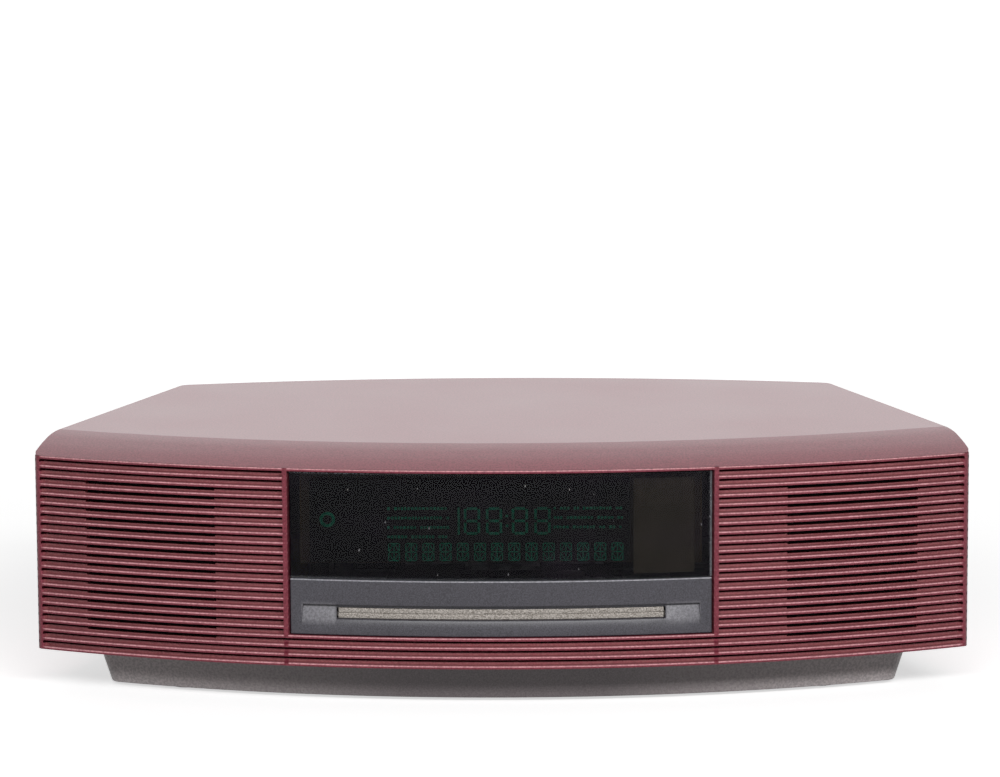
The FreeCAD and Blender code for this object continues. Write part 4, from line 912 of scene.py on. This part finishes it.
# Marks on the display's face, in millimetres: across from the case's middle, and up from the floor
DIGIT_LEFTS = (-14.2, -5.7, 4.3, 13.0)
DIGIT_TOP = 79.4
DIGIT_WIDTH = 6.3
DIGIT_HEIGHT = 10.7
DIGIT_STROKE = 1.0
DIGIT_GAP = 0.3
HUNDREDS_STROKE = 0.8           # width of the stroke before the digits, as a share of theirs
HUNDREDS_OFFSET = 2.0
COLON_HEIGHTS = (0.32, 0.68)    # shares of a digit's height, from its top
CELL_LEFT = -43.6
CELL_TOP = 65.5
CELL_PITCH = 6.65
CELL_COUNT = 14
CELL_WIDTH = 4.6
CELL_HEIGHT = 7.1
CELL_STROKE = 0.42
CELL_GAP = 0.15
LEANING_STROKE = 0.8            # width of a cell's leaning strokes; all three are in widths of the others
LEANING_SHORTER = 2.2           # what a leaning stroke's length loses
LEANING_CLEAR = 1.6             # what its lean leaves free at the sides of the box
INDICATOR_ROWS = ((-43.8, -19.6, 79.0, 4), (20.5, 48.0, 79.0, 3))       # left, right, top and how many
INDICATOR_PITCH = 3.7
INDICATOR_WIDTHS = (0.7, 1.2)
INDICATOR_HEIGHTS = (0.9, 1.2)
INDICATOR_GAPS = (0.35, 0.35, 0.35, 0.35, 0.35, 1.6)
INDICATOR_SEED = 5
DISC_PLACE = (-67.0, 74.8)
DISC_RADII = (1.8, 3.0)
DISC_FACETS = 40

# Plate beside the display
SHIELD_FACE = FRONT_RADIUS - 4.0 * MM
SHIELD_THICK = 0.4 * MM
SHIELD_ENDS = (51.8 * MM, 75.6 * MM)
SHIELD_BELOW = 1.5 * MM         # past the display's own edges
SHIELD_ABOVE = 1.0 * MM


def mark(bm, x, z, width, height, lean=0.0):
    """Flat mark on the display's face, in millimetres, leaning by an angle."""
    place = Matrix.Translation(Vector((x * MM, MARK_Y - MARK_THICK / 2, z * MM)))
    size = Matrix.Diagonal(Vector((width * MM, MARK_THICK, height * MM, 1)))
    bmesh.ops.create_cube(bm, size=1, matrix=place @ Matrix.Rotation(lean, 4, "Y") @ size)


def box_marks(bm, left, top, width, height, stroke, gap):
    """Strokes round a box, and across its middle, that stop short of each other."""
    x = left + width / 2
    for z in (top - stroke / 2, top - height / 2, top - height + stroke / 2):
        mark(bm, x, z, width - 2 * stroke - gap, stroke)
    for side in (left + stroke / 2, left + width - stroke / 2):
        for z in (top - height / 4, top - height * 3 / 4):
            mark(bm, side, z, stroke, height / 2 - stroke - gap)


def clock_marks(bm):
    """Seven-stroke digits, with a narrow stroke before them and a colon between."""
    for left in DIGIT_LEFTS:
        box_marks(bm, left, DIGIT_TOP, DIGIT_WIDTH, DIGIT_HEIGHT, DIGIT_STROKE, DIGIT_GAP)
    mark(bm, DIGIT_LEFTS[0] - HUNDREDS_OFFSET, DIGIT_TOP - DIGIT_HEIGHT / 2, DIGIT_STROKE * HUNDREDS_STROKE,
         DIGIT_HEIGHT)
    colon_x = (DIGIT_LEFTS[1] + DIGIT_WIDTH + DIGIT_LEFTS[2]) / 2
    for share in COLON_HEIGHTS:
        mark(bm, colon_x, DIGIT_TOP - DIGIT_HEIGHT * share, DIGIT_STROKE, DIGIT_STROKE)


def cell_marks(bm):
    """Row of cells whose strokes can make any letter."""
    clear = CELL_STROKE * LEANING_CLEAR
    lean = math.atan2(CELL_WIDTH / 2 - clear, CELL_HEIGHT / 2 - clear)
    for number in range(CELL_COUNT):
        left = CELL_LEFT + number * CELL_PITCH
        box_marks(bm, left, CELL_TOP, CELL_WIDTH, CELL_HEIGHT, CELL_STROKE, CELL_GAP)
        middle = left + CELL_WIDTH / 2
        for z, turn in ((CELL_TOP - CELL_HEIGHT / 4, 1), (CELL_TOP - CELL_HEIGHT * 3 / 4, -1)):
            mark(bm, middle, z, CELL_STROKE, CELL_HEIGHT / 2 - 2 * CELL_STROKE)
            for side in (-1, 1):
                mark(bm, middle + side * CELL_WIDTH / 4, z, CELL_STROKE * LEANING_STROKE,
                     CELL_HEIGHT / 2 - LEANING_SHORTER * CELL_STROKE, -side * turn * lean)


def indicator_marks(bm):
    """Rows of small blocks on both sides of the clock."""
    draw = random.Random(INDICATOR_SEED)
    for left, right, top, rows in INDICATOR_ROWS:
        for row in range(rows):
            x = left
            while x < right - 1:
                width = draw.uniform(*INDICATOR_WIDTHS)
                height = draw.uniform(*INDICATOR_HEIGHTS)
                mark(bm, x + width / 2, top - row * INDICATOR_PITCH, width, height)
                x += width + draw.choice(INDICATOR_GAPS)


def display_marks(finish):
    """Unlit segments of the clock, of the row of cells and of the indicators."""
    bm = bmesh.new()
    clock_marks(bm)
    cell_marks(bm)
    indicator_marks(bm)
    finished("display_marks", bm, "case", "display_glass", finish=finish)


def disc_mark(finish):
    """Ring that stands for a loaded disc."""
    bm = bmesh.new()
    inner, outer = DISC_RADII
    outline = [bm.verts.new((r * MM, y, 0)) for r, y in (
        (inner, MARK_Y), (outer, MARK_Y), (outer, MARK_Y - MARK_THICK), (inner, MARK_Y - MARK_THICK))]
    edges = [bm.edges.new(pair) for pair in zip(outline, outline[1:] + outline[:1])]
    bmesh.ops.spin(bm, geom=outline + edges, cent=(0, 0, 0), axis=(0, 1, 0), angle=math.tau,
                   steps=DISC_FACETS, use_merge=True)
    bmesh.ops.recalc_face_normals(bm, faces=bm.faces)
    bmesh.ops.translate(bm, verts=bm.verts, vec=Vector((DISC_PLACE[0], 0, DISC_PLACE[1])) * MM)
    finished("disc_mark", bm, "case", "display_glass", finish=finish)


def light_shield(finish):
    """Curved plate behind the window, beside the display, which shows brown through it."""
    bm = bowed_strip(SHIELD_FACE, SHIELD_FACE - SHIELD_THICK, settled(tube_low.z) - SHIELD_BELOW,
                     tube_high.z + SHIELD_ABOVE, *SHIELD_ENDS)
    finished("light_shield", bm, "case", "display_glass", finish=finish)


mark_finish = grained("display_marks", MARK_GRAIN)
display_marks(mark_finish)
disc_mark(mark_finish)
light_shield(grained("shield_brown", SHIELD_GRAIN))


# Surroundings, light and camera

WORLD_LIGHT = 0.1
WHITE = (1, 1, 1, 1)
FLOOR_SIZE = 40.0
FLOOR_BOUNCE = (140, 140, 140)
FLOOR_SEEN = (246, 246, 246)
FLOOR_GLOW = 0.6
GLOW_GROWS = (0.3, 1.3)         # distances at which the floor's glow starts to grow, and where it is full

REAR_STRENGTH = 0.45
REAR_HEIGHT = math.radians(27)
REAR_BEARING = math.radians(192)
REAR_SOFTNESS = math.radians(70)

STRIP_POWER = 30.0
STRIP_SIZE = (1.9, 0.26)
STRIP_PLACE = Vector((0.25, -1.75, 1.0))
STRIP_AIM = Vector((0.0, -0.05, 0.05))

CAMERA_REACH = 100.0


def seen_directly(tree):
    """One for the camera's own rays and for reflections, where the background has to be white."""
    path = tree.nodes.new("ShaderNodeLightPath")
    seen = worked(tree, "MAXIMUM", path.outputs["Is Camera Ray"], path.outputs["Is Glossy Ray"])
    return worked(tree, "MAXIMUM", seen, path.outputs["Is Transmission Ray"])


def white_world():
    """White background that lights the object softly."""
    world = bpy.data.worlds.new("surroundings")
    world.use_nodes = True
    tree = world.node_tree
    background = tree.nodes["Background"]
    background.inputs["Color"].default_value = WHITE
    strength = ranged(tree, seen_directly(tree), 0, 1, WORLD_LIGHT, 1.0)
    tree.links.new(strength, background.inputs["Strength"])
    bpy.context.scene.world = world


def pale_floor():
    """Plain floor that looks white and keeps the object's shadow."""
    bm = bmesh.new()
    bmesh.ops.create_grid(bm, x_segments=1, y_segments=1, size=FLOOR_SIZE / 2)
    mesh = bpy.data.meshes.new("floor")
    bm.to_mesh(mesh)
    bm.free()
    floor = placed("floor", mesh)
    material, tree, shader, place = new_finish("floor", roughness=1.0, specular=0.0)
    seen = seen_directly(tree)
    tone = mixed(tree, seen, colour(*FLOOR_BOUNCE), colour(*FLOOR_SEEN))
    tree.links.new(tone, shader.inputs["Base Color"])
    shader.inputs["Emission Color"].default_value = WHITE
    far = tree.nodes.new("ShaderNodeVectorMath")
    far.operation = "LENGTH"
    tree.links.new(place, far.inputs[0])
    glow = ranged(tree, far.outputs["Value"], *GLOW_GROWS, FLOOR_GLOW, 1.0)
    tree.links.new(worked(tree, "MULTIPLY", seen, glow), shader.inputs["Emission Strength"])
    mesh.materials.append(material)


def lamp_holder(name, lamp, toward):
    """Put a lamp in the scene; it shines against the given direction."""
    holder = placed(name, lamp)
    holder.rotation_mode = "QUATERNION"
    holder.rotation_quaternion = toward.to_track_quat("Z", "Y")
    holder.visible_camera = False
    return holder


def front_strip():
    """Long low strip in front."""
    strip = bpy.data.lights.new("front_strip", "AREA")
    strip.shape = "RECTANGLE"
    strip.size, strip.size_y = STRIP_SIZE
    strip.energy = STRIP_POWER
    lamp_holder("front_strip", strip, STRIP_PLACE - STRIP_AIM).location = STRIP_PLACE


def rear_lamp():
    """Broad weak lamp behind and above."""
    lamp = bpy.data.lights.new("rear_lamp", "SUN")
    lamp.energy = REAR_STRENGTH
    lamp.angle = REAR_SOFTNESS
    level = math.cos(REAR_HEIGHT)
    toward = Vector((math.sin(REAR_BEARING) * level, -math.cos(REAR_BEARING) * level, math.sin(REAR_HEIGHT)))
    lamp_holder("rear_lamp", lamp, toward)


def place_camera():
    """Camera at the photograph's place and angle."""
    camera = bpy.data.cameras.new("camera")
    camera.lens = CAMERA_LENS
    camera.sensor_width = CAMERA_SENSOR
    camera.clip_end = CAMERA_REACH
    holder = placed("camera", camera)
    level = Vector((math.sin(CAMERA_YAW), math.cos(CAMERA_YAW), 0))
    ahead = level * math.cos(CAMERA_PITCH) + UP * math.sin(CAMERA_PITCH)
    right = level.cross(UP)
    above = right.cross(ahead)
    turned = Matrix.Rotation(CAMERA_ROLL, 3, -ahead)
    axes = Matrix((turned @ right, turned @ above, -ahead)).transposed()
    holder.matrix_world = Matrix.Translation(CAMERA_PLACE) @ axes.to_4x4()
    bpy.context.scene.camera = holder


white_world()
pale_floor()
front_strip()
rear_lamp()
place_camera()
bpy.context.scene.view_settings.view_transform = "Standard"
